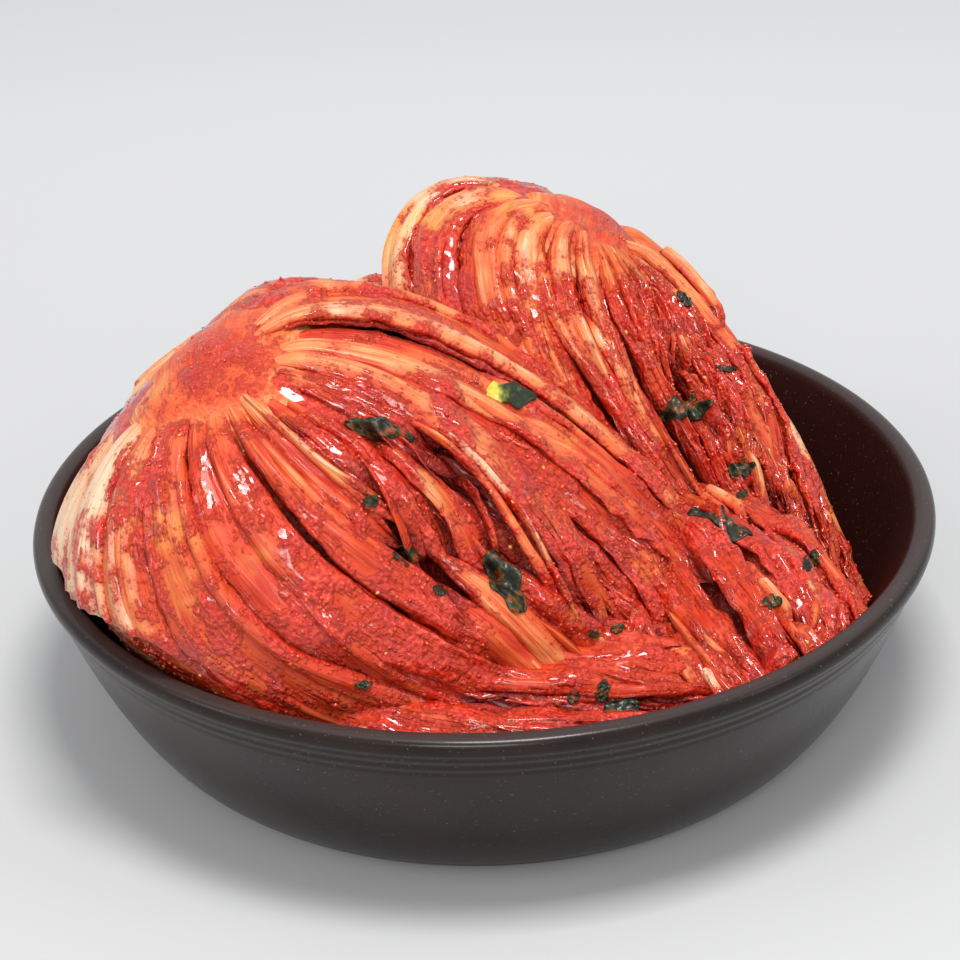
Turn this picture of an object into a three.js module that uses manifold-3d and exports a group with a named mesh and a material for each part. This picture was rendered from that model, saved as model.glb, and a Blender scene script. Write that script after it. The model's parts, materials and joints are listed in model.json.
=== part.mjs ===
// Kimchi in its bowl: whole salted cabbages under red chilli paste, laid over each other in a low
// glazed earthenware basin. Millimetres, +Z up, the origin at the middle of the bowl's underside.
//
// Each cabbage is a core shaped like an egg with its leaves laid on it. A leaf runs from the cut root to
// the tips along an arc of the egg, so a few angles say where it lies, and the leaves spread and
// close again by themselves.
import * as THREE from 'three';
import { ConvexGeometry } from 'three/addons/geometries/ConvexGeometry.js';
import { mergeVertices } from 'three/addons/utils/BufferGeometryUtils.js';
import Module from 'manifold-3d';

const wasm = await Module();
wasm.setup();

// Driving dimensions of the bowl
const bowlHeight = 86;
const rimRadius = 180;
const mouthRadius = 171.5;
const footRadius = 129;
const shoulderHeight = 78;
const shoulderRadius = 177.5;
const floorHeight = 9;
const floorRadius = 112;
const bowlSides = 44;

// The space left between a cabbage and what it touches
const gap = 0.4;

// A cabbage's core lies this far under the surface that its leaves follow
const coreDepth = 7;
const coreColumns = 14;
const coreRows = 9;

// A leaf in facets across and along, and how far it stands over and goes under its long edges
const leafColumns = 6;
const leafRows = 8;
const leafCrown = 5;
const leafThickness = 8;
const leafThinning = 0.55;
const leafRipple = 1.6;
const leafFill = 0.92;
const rootHeight = 7;

// The cabbages. centre, size and turn place the egg, and taper narrows its tip end. root and tip are
// directions in the egg, as longitude and latitude in degrees. A leaf lies `at` an angle round the line
// from root to tip, and has drifted by `bend` degrees where it ends. It starts and ends at a share of
// the arc, is `width` degrees wide, and rises over the egg by `rise` millimetres.
const cabbages = {
  front_cabbage: {
    colour: 0xb8402a,
    centre: [-26, -42, 77],
    size: [130, 99, 80],
    turn: [10, 13, -12],
    taper: 0.42,
    root: [189, 49],
    tip: [343, -11],
    rootRadius: 19,
    hollow: { at: -2, share: 0.47, depth: 18, reach: 0.32 },
    leaves: [
      { at: -154, bend: 0, from: 0.03, to: 0.92, width: 30, rise: 4 },
      { at: -128, bend: 0, from: 0.03, to: 0.92, width: 27, rise: 5 },
      { at: -106, bend: 0, from: 0.03, to: 0.92, width: 22, rise: 5 },
      { at: -84, bend: -2, from: 0.03, to: 0.92, width: 25, rise: 9 },
      { at: -67, bend: 0, from: 0.05, to: 0.33, width: 15, rise: 3 },
      { at: -53, bend: 12, from: 0.04, to: 0.84, width: 18, rise: 7 },
      { at: -36, bend: 46, from: 0.05, to: 0.65, width: 17, rise: 8 },
      { at: -42, bend: 42, from: 0.36, to: 0.86, width: 14, rise: 4 },
      { at: -48, bend: 32, from: 0.46, to: 0.9, width: 13, rise: 3 },
      { at: -20, bend: 4, from: 0.05, to: 0.34, width: 15, rise: 3 },
      { at: -14, bend: 26, from: 0.2, to: 0.5, width: 14, rise: -2 },
      { at: -4, bend: 26, from: 0.05, to: 0.44, width: 14, rise: -1 },
      { at: 10, bend: 6, from: 0.05, to: 0.31, width: 14, rise: 3 },
      { at: 24, bend: 0, from: 0.05, to: 0.36, width: 14, rise: 6 },
      { at: 36, bend: 2, from: 0.05, to: 0.66, width: 13, rise: 4 },
      { at: 50, bend: 2, from: 0.04, to: 0.8, width: 15, rise: 6 },
      { at: 64, bend: -4, from: 0.04, to: 0.92, width: 15, rise: 5 },
      { at: 79, bend: -8, from: 0.04, to: 0.92, width: 17, rise: 5 },
      { at: 95, bend: -12, from: 0.03, to: 0.9, width: 18, rise: 5 },
      { at: 112, bend: -10, from: 0.03, to: 0.85, width: 20, rise: 7 },
      { at: 131, bend: 0, from: 0.03, to: 0.8, width: 22, rise: 4 },
      { at: 155, bend: 0, from: 0.03, to: 0.8, width: 28, rise: 3 },
      { at: 184, bend: 0, from: 0.03, to: 0.75, width: 30, rise: 2 },
      { at: 6, bend: 32, from: 0.47, to: 0.92, width: 14, rise: 5 },
      { at: 18, bend: 32, from: 0.45, to: 0.9, width: 15, rise: 4 },
      { at: 30, bend: 26, from: 0.5, to: 0.9, width: 15, rise: 4 },
    ],
  },
  back_cabbage: {
    colour: 0xc24a2e,
    centre: [63, 30, 86],
    size: [141, 75, 50],
    turn: [-2, 37, -41],
    taper: 0.27,
    root: [156, 52],
    tip: [338, 34],
    rootRadius: 17,
    foldedUnder: { centre: [64, 62, 56], size: [62, 64, 50] },
    leafEnds: {
      centre: [98, -62, 50],
      size: [78, 56, 37],
      turn: [0, 8, -62],
      taper: 0.1,
      root: [180, 30],
      tip: [0, -20],
      leaves: [
        { at: -82, bend: 0, from: 0.1, to: 0.92, width: 26, rise: 3 },
        { at: -52, bend: 10, from: 0.1, to: 0.92, width: 24, rise: 5 },
        { at: -24, bend: -6, from: 0.1, to: 0.92, width: 24, rise: 3 },
        { at: 4, bend: 8, from: 0.1, to: 0.92, width: 24, rise: 5 },
        { at: 32, bend: 0, from: 0.1, to: 0.92, width: 24, rise: 4 },
        { at: 60, bend: 6, from: 0.1, to: 0.92, width: 26, rise: 3 },
      ],
    },
    leaves: [
      { at: 172, bend: 0, from: 0.03, to: 0.6, width: 26, rise: 3 },
      { at: 151, bend: 0, from: 0.03, to: 0.7, width: 20, rise: 4 },
      { at: 134, bend: 0, from: 0.03, to: 0.7, width: 15, rise: 6 },
      { at: 119, bend: 0, from: 0.04, to: 0.7, width: 14, rise: 5 },
      { at: 105, bend: 0, from: 0.04, to: 0.75, width: 13, rise: 6 },
      { at: 92, bend: -2, from: 0.04, to: 0.8, width: 12, rise: 5 },
      { at: 80, bend: 0, from: 0.04, to: 0.88, width: 11, rise: 6 },
      { at: 68, bend: 2, from: 0.05, to: 0.8, width: 11, rise: 5 },
      { at: 53, bend: 0, from: 0.04, to: 0.7, width: 14, rise: 3 },
      { at: 38, bend: 6, from: 0.04, to: 0.5, width: 17, rise: 4 },
      { at: 18, bend: 16, from: 0.04, to: 0.42, width: 18, rise: 5 },
      { at: 0, bend: 6, from: 0.04, to: 0.6, width: 18, rise: 3 },
      { at: -20, bend: 8, from: 0.04, to: 0.6, width: 18, rise: 4 },
      { at: -40, bend: 4, from: 0.04, to: 0.75, width: 19, rise: 3 },
      { at: -59, bend: 4, from: 0.03, to: 0.6, width: 18, rise: 6 },
      { at: -80, bend: 0, from: 0.03, to: 0.9, width: 22, rise: 3 },
      { at: -104, bend: 0, from: 0.03, to: 0.92, width: 24, rise: 5 },
      { at: -130, bend: 0, from: 0.03, to: 0.9, width: 26, rise: 3 },
      { at: -158, bend: 0, from: 0.03, to: 0.85, width: 28, rise: 4 },
      { at: -16, bend: 56, from: 0.5, to: 0.92, width: 14, rise: 6 },
      { at: 28, bend: 24, from: 0.44, to: 0.92, width: 16, rise: 3 },
      { at: -60, bend: 46, from: 0.5, to: 0.92, width: 16, rise: 4 },
    ],
  },
  rear_left_cabbage: {
    colour: 0xb5452a,
    centre: [-72, 75, 82],
    size: [105, 62, 60],
    turn: [0, -31, -10],
    taper: 0.2,
    root: [190, 20],
    tip: [0, 0],
    rootRadius: 13,
    leaves: [
      { at: -150, bend: 0, from: 0.04, to: 0.92, width: 30, rise: 2 },
      { at: -120, bend: 0, from: 0.04, to: 0.92, width: 30, rise: 4 },
      { at: -90, bend: 0, from: 0.04, to: 0.92, width: 29, rise: 3 },
      { at: -61, bend: 0, from: 0.04, to: 0.92, width: 29, rise: 5 },
      { at: -32, bend: 0, from: 0.04, to: 0.92, width: 29, rise: 3 },
      { at: -3, bend: 0, from: 0.04, to: 0.92, width: 29, rise: 4 },
      { at: 28, bend: 0, from: 0.04, to: 0.9, width: 30, rise: 3 },
    ],
  },
};

// Greens from the paste, each lying on one cabbage: where along and round it, its size, its own turn,
// and how far over the egg it lies
const greens = {
  green_onion_end: { on: 'front_cabbage', at: -66, share: 0.36, length: 21, width: 9, turn: 25, lift: -2 },
  green_strip: { on: 'front_cabbage', at: -13, share: 0.245, length: 26, width: 5, turn: 15, lift: 1 },
  mustard_leaf: { on: 'front_cabbage', at: 14, share: 0.49, length: 26, width: 11, turn: -35, lift: -8 },
  dark_leaf: { on: 'front_cabbage', at: -68, share: 0.64, length: 24, width: 12, turn: 5, lift: 2 },
  tip_leaf: { on: 'front_cabbage', at: 34, share: 0.71, length: 15, width: 6, turn: 35, lift: 4 },
  pale_leaf: { on: 'back_cabbage', at: 40, share: 0.52, length: 20, width: 9, turn: 75, lift: 2 },
  small_leaf: { on: 'back_cabbage', at: 14, share: 0.63, length: 11, width: 6, turn: 80, lift: 1 },
};

const turns = Math.PI / 180;

// Radius of the bowl's outer wall at height z
function outerRadius(z) {
  return footRadius + (shoulderRadius - footRadius) * Math.pow(z / shoulderHeight, 0.56);
}

// Radius of the bowl's inner wall at height z
function innerRadius(z) {
  const share = (z - floorHeight) / (bowlHeight - floorHeight);
  return floorRadius + (mouthRadius - floorRadius) * Math.pow(share, 0.38);
}

// Turns a profile of [radius, height] pairs round the bowl's axis
function turned(profile) {
  const points = profile.map(([radius, height]) => new THREE.Vector2(radius, height));
  const geometry = new THREE.LatheGeometry(points, bowlSides);
  return geometry.rotateX(Math.PI / 2);
}

// The basin: flat foot, full wall, a rolled band outside the flat rim, and a rounded floor inside
function bowlGeometry() {
  const profile = [[0, 0], [footRadius, 0]];
  for (const z of [1.6, 6, 14, 28, 48, 66]) {
    profile.push([outerRadius(z), z]);
  }
  profile.push([outerRadius(77) - 0.5, 77], [rimRadius - 0.8, 79], [rimRadius, 82], [rimRadius - 2, bowlHeight]);
  profile.push([mouthRadius + 1, bowlHeight]);
  for (const z of [84, 66, 46, 28, 17, 11.5, floorHeight + 0.4]) {
    profile.push([innerRadius(z), z]);
  }
  profile.push([floorRadius - 14, floorHeight], [0, floorHeight]);
  return turned(profile);
}

// The room inside the bowl and straight up from its mouth, a gap clear of the wall
function roomGeometry() {
  const top = 260;
  const base = floorHeight + gap;
  const profile = [[0, base], [floorRadius - 16, base]];
  for (const z of [11, 17, 28, 46, 66, 84]) {
    profile.push([innerRadius(z) - 2 * gap, z + gap]);
  }
  profile.push([mouthRadius - 2 * gap, top], [0, top]);
  return turned(profile);
}

// Unit vector at a longitude and latitude in degrees
function direction([longitude, latitude]) {
  const level = Math.cos(latitude * turns);
  return new THREE.Vector3(
    level * Math.cos(longitude * turns),
    level * Math.sin(longitude * turns),
    Math.sin(latitude * turns),
  );
}

// The point a share of the way from root to tip on the unit sphere, along the arc that lies `angle`
// degrees round the line between them
function onArc(cabbage, angle, share) {
  const root = direction(cabbage.root);
  const tip = direction(cabbage.tip);
  const line = tip.clone().sub(root).normalize();
  const middle = root.clone().add(tip).multiplyScalar(0.5);
  const top = middle.addScaledVector(line, -middle.dot(line)).normalize();
  const side = top.clone().multiplyScalar(Math.cos(angle * turns));
  side.addScaledVector(new THREE.Vector3().crossVectors(line, top), Math.sin(angle * turns));
  const pole = new THREE.Vector3().crossVectors(side, line);
  const centre = pole.clone().multiplyScalar(pole.dot(root));
  const start = root.clone().sub(centre);
  const radius = start.length();
  start.divideScalar(radius);
  const across = side.clone().addScaledVector(start, -side.dot(start)).normalize();
  const end = tip.clone().sub(centre);
  const sweep = (Math.atan2(end.dot(across), end.dot(start)) + 2 * Math.PI) % (2 * Math.PI);
  return centre
    .addScaledVector(start, radius * Math.cos(share * sweep))
    .addScaledVector(across, radius * Math.sin(share * sweep));
}

// A point of the egg in the direction d, with `height` millimetres added outwards
function onEgg(cabbage, d, height) {
  const narrow = 1 - cabbage.taper * d.x;
  const [length, width, depth] = cabbage.size;
  const outward = new THREE.Vector3(d.x / length, d.y / (width * narrow), d.z / (depth * narrow)).normalize();
  const point = new THREE.Vector3(d.x * length, d.y * width * narrow, d.z * depth * narrow);
  point.addScaledVector(outward, height);
  const [roll, pitch, yaw] = cabbage.turn.map((angle) => angle * turns);
  return point.applyEuler(new THREE.Euler(roll, pitch, yaw, 'ZYX')).add(new THREE.Vector3(...cabbage.centre));
}

// A closed mesh as a solid that can be joined and cut
function solid(geometry) {
  geometry.deleteAttribute('normal');
  geometry.deleteAttribute('uv');
  const merged = mergeVertices(geometry, 1e-4);
  const mesh = new wasm.Mesh({
    numProp: 3,
    vertProperties: Float32Array.from(merged.attributes.position.array),
    triVerts: Uint32Array.from(merged.index.array),
  });
  return new wasm.Manifold(mesh);
}

// A solid's surface as a geometry
function surface(body) {
  const mesh = body.getMesh();
  const geometry = new THREE.BufferGeometry();
  geometry.setAttribute('position', new THREE.BufferAttribute(Float32Array.from(mesh.vertProperties), 3));
  geometry.setIndex(new THREE.BufferAttribute(Uint32Array.from(mesh.triVerts), 1));
  geometry.computeVertexNormals();
  return geometry;
}

// Rounding makes the two copies of a vertex on a ball's seam alike to the last digit
function rounded(value) {
  return Number(value.toFixed(5));
}

// A ball of rows and columns whose every vertex is moved by `place`, which gets the share of the way
// from pole to pole and the angle round them
function shapedBall(columns, rows, place) {
  const ball = new THREE.SphereGeometry(1, columns, rows);
  const position = ball.attributes.position;
  for (let i = 0; i < position.count; i += 1) {
    const vertex = new THREE.Vector3().fromBufferAttribute(position, i);
    const share = rounded(Math.acos(THREE.MathUtils.clamp(vertex.y, -1, 1)) / Math.PI);
    const around = rounded(Math.atan2(vertex.x, vertex.z));
    const point = place(share, around);
    position.setXYZ(i, point.x, point.y, point.z);
  }
  return ball;
}

// How deep the hollow between the leaves is at the direction d
function hollowDepth(cabbage, d) {
  const hollow = cabbage.hollow;
  if (!hollow) {
    return 0;
  }
  const distance = d.distanceTo(onArc(cabbage, hollow.at, hollow.share));
  return hollow.depth * Math.exp(-Math.pow(distance / hollow.reach, 2));
}

// The egg under the leaves
function core(cabbage) {
  const shape = (share, around) => {
    const d = new THREE.Vector3(
      Math.cos(share * Math.PI),
      Math.sin(share * Math.PI) * Math.cos(around),
      Math.sin(share * Math.PI) * Math.sin(around),
    );
    return onEgg(cabbage, d, -coreDepth - hollowDepth(cabbage, d));
  };
  return solid(shapedBall(coreColumns, coreRows, shape));
}

// One leaf: crowned outside, thick at its rib, thin at its two long edges, rippled towards its tip
function leafBody(cabbage, leaf) {
  const shape = (share, around) => {
    const along = leaf.from + (leaf.to - leaf.from) * share;
    const full = Math.pow(4 * share * (1 - share), 0.45);
    const angle = leaf.at + leaf.bend * share ** 3 + leafFill * 0.5 * leaf.width * full * Math.cos(around);
    const depth = (Math.sin(around) > 0 ? leafCrown : leafThickness) * (1 - leafThinning * along * along);
    const ripple = leafRipple * share * Math.sin(leaf.at + 19 * share);
    const height = leaf.rise - leafCrown + ripple + depth * full * Math.sin(around);
    return onEgg(cabbage, onArc(cabbage, angle, along), height);
  };
  return solid(shapedBall(leafColumns, leafRows, shape));
}

// The cut end of the root, a low round cushion
function rootBody(cabbage) {
  const root = direction(cabbage.root);
  const rim = onEgg(cabbage, root, -2);
  const outward = onEgg(cabbage, root, 8).sub(rim).normalize();
  const cushion = new THREE.SphereGeometry(1, 12, 6);
  cushion.scale(cabbage.rootRadius, rootHeight, cabbage.rootRadius);
  cushion.applyQuaternion(new THREE.Quaternion().setFromUnitVectors(new THREE.Vector3(0, 1, 0), outward));
  cushion.translate(rim.x, rim.y, rim.z);
  return solid(cushion);
}

// The leaf ends folded under a cabbage, which it stands on
function foldedBody(fold, grow = 0) {
  const lobe = new THREE.SphereGeometry(1, 14, 8);
  lobe.rotateX(Math.PI / 2);
  lobe.scale(...fold.size.map((size) => size + grow));
  lobe.translate(...fold.centre);
  return solid(lobe);
}

// A cabbage's core with its leaves and its root, without what is folded under or spread out
function headBody(cabbage) {
  let body = core(cabbage);
  for (const leaf of cabbage.leaves) {
    body = body.add(leafBody(cabbage, leaf));
  }
  return cabbage.rootRadius ? body.add(rootBody(cabbage)) : body;
}

// A whole cabbage
function cabbageBody(cabbage) {
  let body = headBody(cabbage);
  if (cabbage.foldedUnder) {
    body = body.add(foldedBody(cabbage.foldedUnder));
  }
  if (cabbage.leafEnds) {
    body = body.add(headBody(cabbage.leafEnds));
  }
  return body;
}

// The hull round a head, fatter by the gap, that its neighbour is cut by
function headRoom(cabbage) {
  const position = surface(headBody(cabbage)).attributes.position;
  const points = [];
  for (let i = 0; i < position.count; i += 1) {
    points.push(new THREE.Vector3().fromBufferAttribute(position, i));
  }
  const larger = 1 + gap / Math.min(...cabbage.size);
  const hull = new ConvexGeometry(points);
  hull.translate(...cabbage.centre.map((place) => -place));
  hull.scale(larger, larger, larger);
  hull.translate(...cabbage.centre);
  return solid(hull);
}

// All the room that a cabbage takes, for its neighbour to be cut by
function cabbageRoom(cabbage) {
  let body = headRoom(cabbage);
  if (cabbage.foldedUnder) {
    body = body.add(foldedBody(cabbage.foldedUnder, gap));
  }
  if (cabbage.leafEnds) {
    body = body.add(headRoom(cabbage.leafEnds));
  }
  return body;
}

// A green shred: a thin wavy leaf laid on its cabbage, both faces with the same triangles
function greenBody(green, grow = 0) {
  const cabbage = cabbages[green.on];
  const d = onArc(cabbage, green.at, green.share);
  const base = onEgg(cabbage, d, green.lift);
  const outward = onEgg(cabbage, d, green.lift + 5).sub(base).normalize();
  const ahead = onEgg(cabbage, onArc(cabbage, green.at, green.share + 0.02), green.lift).sub(base);
  const along = ahead.addScaledVector(outward, -ahead.dot(outward)).normalize();
  along.applyAxisAngle(outward, green.turn * turns);
  const across = new THREE.Vector3().crossVectors(along, outward);
  const disc = new THREE.CylinderGeometry(1, 1, 1, 14, 1);
  const position = disc.attributes.position;
  for (let i = 0; i < position.count; i += 1) {
    const x = position.getX(i);
    const z = position.getZ(i);
    const wave = 1.1 * Math.sin(5 * x + green.at) + 0.7 * Math.sin(7 * z);
    const point = base.clone();
    point.addScaledVector(along, x * (0.5 * green.length + grow));
    point.addScaledVector(across, z * (0.5 * green.width + grow));
    point.addScaledVector(outward, wave + Math.sign(position.getY(i)) * (0.6 + grow));
    position.setXYZ(i, point.x, point.y, point.z);
  }
  return solid(disc);
}

// A named mesh in the object
function piece(name, geometry, colour, roughness) {
  const mesh = new THREE.Mesh(geometry, new THREE.MeshStandardMaterial({ color: colour, roughness, metalness: 0 }));
  mesh.name = name;
  return mesh;
}

const kimchi = new THREE.Group();
kimchi.name = 'kimchi_in_bowl';
kimchi.add(piece('bowl', bowlGeometry(), 0x2b2524, 0.35));

// Each cabbage is cut to the bowl's room, to those in front of it and round the greens that lie on it
const room = solid(roomGeometry());
const inFront = [];
for (const [name, cabbage] of Object.entries(cabbages)) {
  let body = cabbageBody(cabbage).intersect(room);
  for (const neighbour of inFront) {
    body = body.subtract(cabbageRoom(neighbour));
  }
  for (const green of Object.values(greens)) {
    body = body.subtract(greenBody(green, gap));
  }
  const largest = body.decompose().sort((a, b) => b.volume() - a.volume())[0];
  kimchi.add(piece(name, surface(largest), cabbage.colour, 0.35));
  inFront.push(cabbage);
}

for (const [name, green] of Object.entries(greens)) {
  kimchi.add(piece(name, surface(greenBody(green)), 0x2c3a1c, 0.4));
}

export default kimchi;
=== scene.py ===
# %% [markdown]
# Kimchi in a dark earthenware basin. Whole salted cabbages lie over each other, each one a fan of long
# stalks and thin leaves that run from the cut root to the tips, under a wet paste of red chilli. This
# lesson makes the basin by turning a profile, then every leaf as its own thin closed shape laid on the
# cabbage, and last the finishes. All lengths in the tables are millimetres and all angles degrees.

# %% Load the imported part
import json
from collections import namedtuple

import bmesh
import bpy
import numpy as np
from mathutils import Matrix, Vector
from mathutils.bvhtree import BVHTree

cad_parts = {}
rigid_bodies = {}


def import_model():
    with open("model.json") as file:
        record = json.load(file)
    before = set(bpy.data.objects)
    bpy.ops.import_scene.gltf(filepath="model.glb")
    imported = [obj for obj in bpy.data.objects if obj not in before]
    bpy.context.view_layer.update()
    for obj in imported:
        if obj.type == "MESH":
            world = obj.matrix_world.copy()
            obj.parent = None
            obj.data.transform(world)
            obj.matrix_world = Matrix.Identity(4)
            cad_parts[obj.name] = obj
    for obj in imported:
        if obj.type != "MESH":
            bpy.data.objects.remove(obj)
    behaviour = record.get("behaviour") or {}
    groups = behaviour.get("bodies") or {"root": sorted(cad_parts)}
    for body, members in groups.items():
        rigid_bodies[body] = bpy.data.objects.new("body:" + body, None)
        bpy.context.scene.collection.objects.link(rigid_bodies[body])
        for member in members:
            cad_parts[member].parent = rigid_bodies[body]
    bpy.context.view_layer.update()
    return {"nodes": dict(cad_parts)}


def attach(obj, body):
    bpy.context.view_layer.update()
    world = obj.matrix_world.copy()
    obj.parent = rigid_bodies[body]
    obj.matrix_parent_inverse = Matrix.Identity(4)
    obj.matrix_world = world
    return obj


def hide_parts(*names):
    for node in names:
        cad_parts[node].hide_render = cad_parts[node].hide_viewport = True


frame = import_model()
print("nodes:", sorted(frame["nodes"]))
MM = 0.001

# %% [markdown]
# The photograph looks down on the basin from the front at nearly thirty degrees, with a long lens. A
# camera has no aim of its own, so a direction is turned into a rotation: the lens looks along its
# own -Z, and its Y points up. The picture also leans by two degrees, a turn about the line of sight.

# %% Camera
CAMERA_PLACE = Vector((0.0, -1042.4, 654.6)) * MM
CAMERA_AIM = Vector((-0.95, 0.0, 93.2)) * MM
CAMERA_LEAN = np.radians(-2.12)
camera_data = bpy.data.cameras.new("camera")
camera_data.lens = 110.96
camera_data.sensor_width = 36.0
camera_data.clip_end = 50.0
camera = bpy.data.objects.new("camera", camera_data)
bpy.context.collection.objects.link(camera)
aim = (CAMERA_AIM - CAMERA_PLACE).to_track_quat("-Z", "Y").to_matrix().to_4x4()
camera.matrix_world = Matrix.Translation(CAMERA_PLACE) @ aim @ Matrix.Rotation(CAMERA_LEAN, 4, "Z")
bpy.context.scene.camera = camera
print("camera looks along", [round(value, 3) for value in aim.to_3x3() @ Vector((0, 0, -1))])

# %% [markdown]
# Every finish is a small program of nodes. Wrapping a socket in a class of its own lets the maths be
# written as Python writes it, such as 1 - mask, and one method makes every other node, so a material
# reads from top to bottom like a recipe.

# %% A socket that can be calculated with
class Value:
    def __init__(self, finish, socket):
        self.finish = finish
        self.socket = socket

    def math(self, operation, *others):
        inputs = dict(enumerate((self, *others)))
        return self.finish.node("ShaderNodeMath", {"operation": operation}, inputs)

    def __add__(self, other):
        return self.math("ADD", other)

    def __sub__(self, other):
        return self.math("SUBTRACT", other)

    def __rsub__(self, other):
        return self.finish.node("ShaderNodeMath", {"operation": "SUBTRACT"}, {0: other, 1: self})

    def __mul__(self, other):
        return self.math("MULTIPLY", other)

    __radd__ = __add__
    __rmul__ = __mul__

    def step(self, low, high):
        settings = {"interpolation_type": "SMOOTHSTEP"}
        inputs = {"Value": self, "From Min": low, "From Max": high}
        return self.finish.node("ShaderNodeMapRange", settings, inputs)


# %% A finish with its shader
class Finish:
    def __init__(self, name, **constants):
        self.material = bpy.data.materials.new(name)
        self.material.use_nodes = True
        self.tree = self.material.node_tree
        self.shader = self.tree.nodes["Principled BSDF"]
        for socket, value in constants.items():
            self.shader.inputs[socket.replace("_", " ")].default_value = value

    def node(self, kind, settings, inputs, output=0):
        made = self.tree.nodes.new(kind)
        for key, value in settings.items():
            if key == "stops":
                self.set_stops(made.color_ramp, value)
            else:
                setattr(made, key, value)
        for key, value in inputs.items():
            self.feed(made.inputs[key], value)
        return Value(self, made.outputs[output])

    def feed(self, socket, value):
        if isinstance(value, Value):
            self.tree.links.new(value.socket, socket)
        else:
            socket.default_value = value

    def set_stops(self, ramp, stops):
        while len(ramp.elements) < len(stops):
            ramp.elements.new(0.5)
        for element, (place, colour) in zip(ramp.elements, stops):
            element.position = place
            element.color = (*colour, 1.0)

    def place(self):
        return self.node("ShaderNodeTexCoord", {}, {}, "Object")

    def attribute(self, name, output):
        return self.node("ShaderNodeAttribute", {"attribute_name": name}, {}, output)

    def noise(self, where, scale, detail=3.0):
        return self.node("ShaderNodeTexNoise", {}, {"Vector": where, "Scale": scale, "Detail": detail})

    def stretched(self, where, factors):
        return self.node("ShaderNodeVectorMath", {"operation": "MULTIPLY"}, {0: where, 1: factors})

    def ramp(self, factor, stops):
        return self.node("ShaderNodeValToRGB", {"stops": stops}, {0: factor})

    def mix(self, factor, first, second):
        return self.node("ShaderNodeMix", {"data_type": "RGBA"}, {0: factor, 6: first, 7: second}, 2)

    def bump(self, height, distance, strength=1.0):
        inputs = {"Height": height, "Distance": distance, "Strength": strength}
        return self.node("ShaderNodeBump", {}, inputs)

    def set(self, **links):
        for socket, value in links.items():
            self.feed(self.shader.inputs[socket.replace("_", " ")], value)


print("helpers for finishes are ready")

# %% [markdown]
# A colour picked from a picture is stored for screens. The shader wants the light itself, so each
# colour is turned from the first to the second once, here.

# %% Colours as light
def light(red, green, blue):
    share = np.array((red, green, blue)) / 255
    linear = np.where(share <= 0.04045, share / 12.92, ((share + 0.055) / 1.055) ** 2.4)
    return tuple(float(value) for value in linear)


print("a mid grey of 128 is", round(light(128, 128, 128)[0], 3), "as light")

# %% [markdown]
# The basin is thrown on a wheel, so one profile turned round the axis makes all of it: foot, wall, the
# fine rings cut under the band, the rounded band, the flat rim and the inside. A few edges that follow
# the profile are spun by the spin operator. Loose primitives would leave seams at each join.

# %% The basin's profile
BOWL_HEIGHT = 86.0
FLOOR_HEIGHT = 9.0
FLOOR_RADIUS = 112.0
MOUTH_RADIUS = 171.5
FOOT_RADIUS = 129.0
SHOULDER_HEIGHT = 78.0
SHOULDER_RADIUS = 177.5
WALL_CURVE = 0.56
INSIDE_CURVE = 0.38
Ring = namedtuple("Ring", "at wide deep")
RINGS = [Ring(73.6, 0.9, 0.5), Ring(69.8, 0.7, 0.35), Ring(7.0, 0.8, 0.4)]
FOOT_POINTS = [(0, 0.6), (118, 0.6), (121, 0.0), (128, 0.0), (129.4, 0.6)]
BAND_POINTS = [(177.0, 77.4), (178.4, 78.2), (179.4, 79.4), (179.9, 81.0), (179.9, 82.6), (179.4, 84.2)]
RIM_POINTS = [(178.5, 85.3), (177.3, 85.9), (176.0, 86.0), (173.8, 85.9), (172.5, 85.6), (171.7, 84.9)]
FLOOR_POINTS = [(109.0, 9.3), (104.0, 9.0), (60.0, 9.0), (0.0, 9.0)]


def outer_radius(height):
    share = height / SHOULDER_HEIGHT
    return FOOT_RADIUS + (SHOULDER_RADIUS - FOOT_RADIUS) * share ** WALL_CURVE


def inner_radius(height):
    share = (height - FLOOR_HEIGHT) / (BOWL_HEIGHT - FLOOR_HEIGHT)
    return FLOOR_RADIUS + (MOUTH_RADIUS - FLOOR_RADIUS) * np.clip(share, 0.0, 1.0) ** INSIDE_CURVE


def bowl_profile():
    outside = []
    for height in np.linspace(1.6, 76.6, 76):
        cut = sum(ring.deep * np.exp(-((height - ring.at) / ring.wide) ** 2) for ring in RINGS)
        outside.append((outer_radius(height) - cut, height))
    inside = [(inner_radius(height), height) for height in np.linspace(84.0, 10.0, 40)]
    return FOOT_POINTS + outside + BAND_POINTS + RIM_POINTS + inside + FLOOR_POINTS


print("points in the basin's profile:", len(bowl_profile()))

# %% Spin the profile into the basin
BOWL_STEPS = 180


def finished_object(name, mesh, finish):
    made = bpy.data.objects.new(name, mesh)
    bpy.context.collection.objects.link(made)
    mesh.materials.append(finish.material)
    mesh.shade_smooth()
    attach(made, "root")
    return made


def spun_mesh(name, profile, steps):
    shape = bmesh.new()
    corners = [shape.verts.new((radius * MM, 0.0, height * MM)) for radius, height in profile]
    edges = [shape.edges.new(pair) for pair in zip(corners, corners[1:])]
    bmesh.ops.spin(
        shape,
        geom=corners + edges,
        cent=(0, 0, 0),
        axis=(0, 0, 1),
        angle=2 * np.pi,
        steps=steps,
        use_merge=True,
    )
    bmesh.ops.remove_doubles(shape, verts=shape.verts[:], dist=1e-6)
    bmesh.ops.recalc_face_normals(shape, faces=shape.faces[:])
    mesh = bpy.data.meshes.new(name)
    shape.to_mesh(mesh)
    shape.free()
    return mesh


glaze = Finish("dark glaze", Coat_Roughness=0.1, Specular_IOR_Level=0.22)
basin = finished_object("basin", spun_mesh("basin", bowl_profile(), BOWL_STEPS), glaze)
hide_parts("bowl")
print("basin faces:", len(basin.data.polygons))

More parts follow.
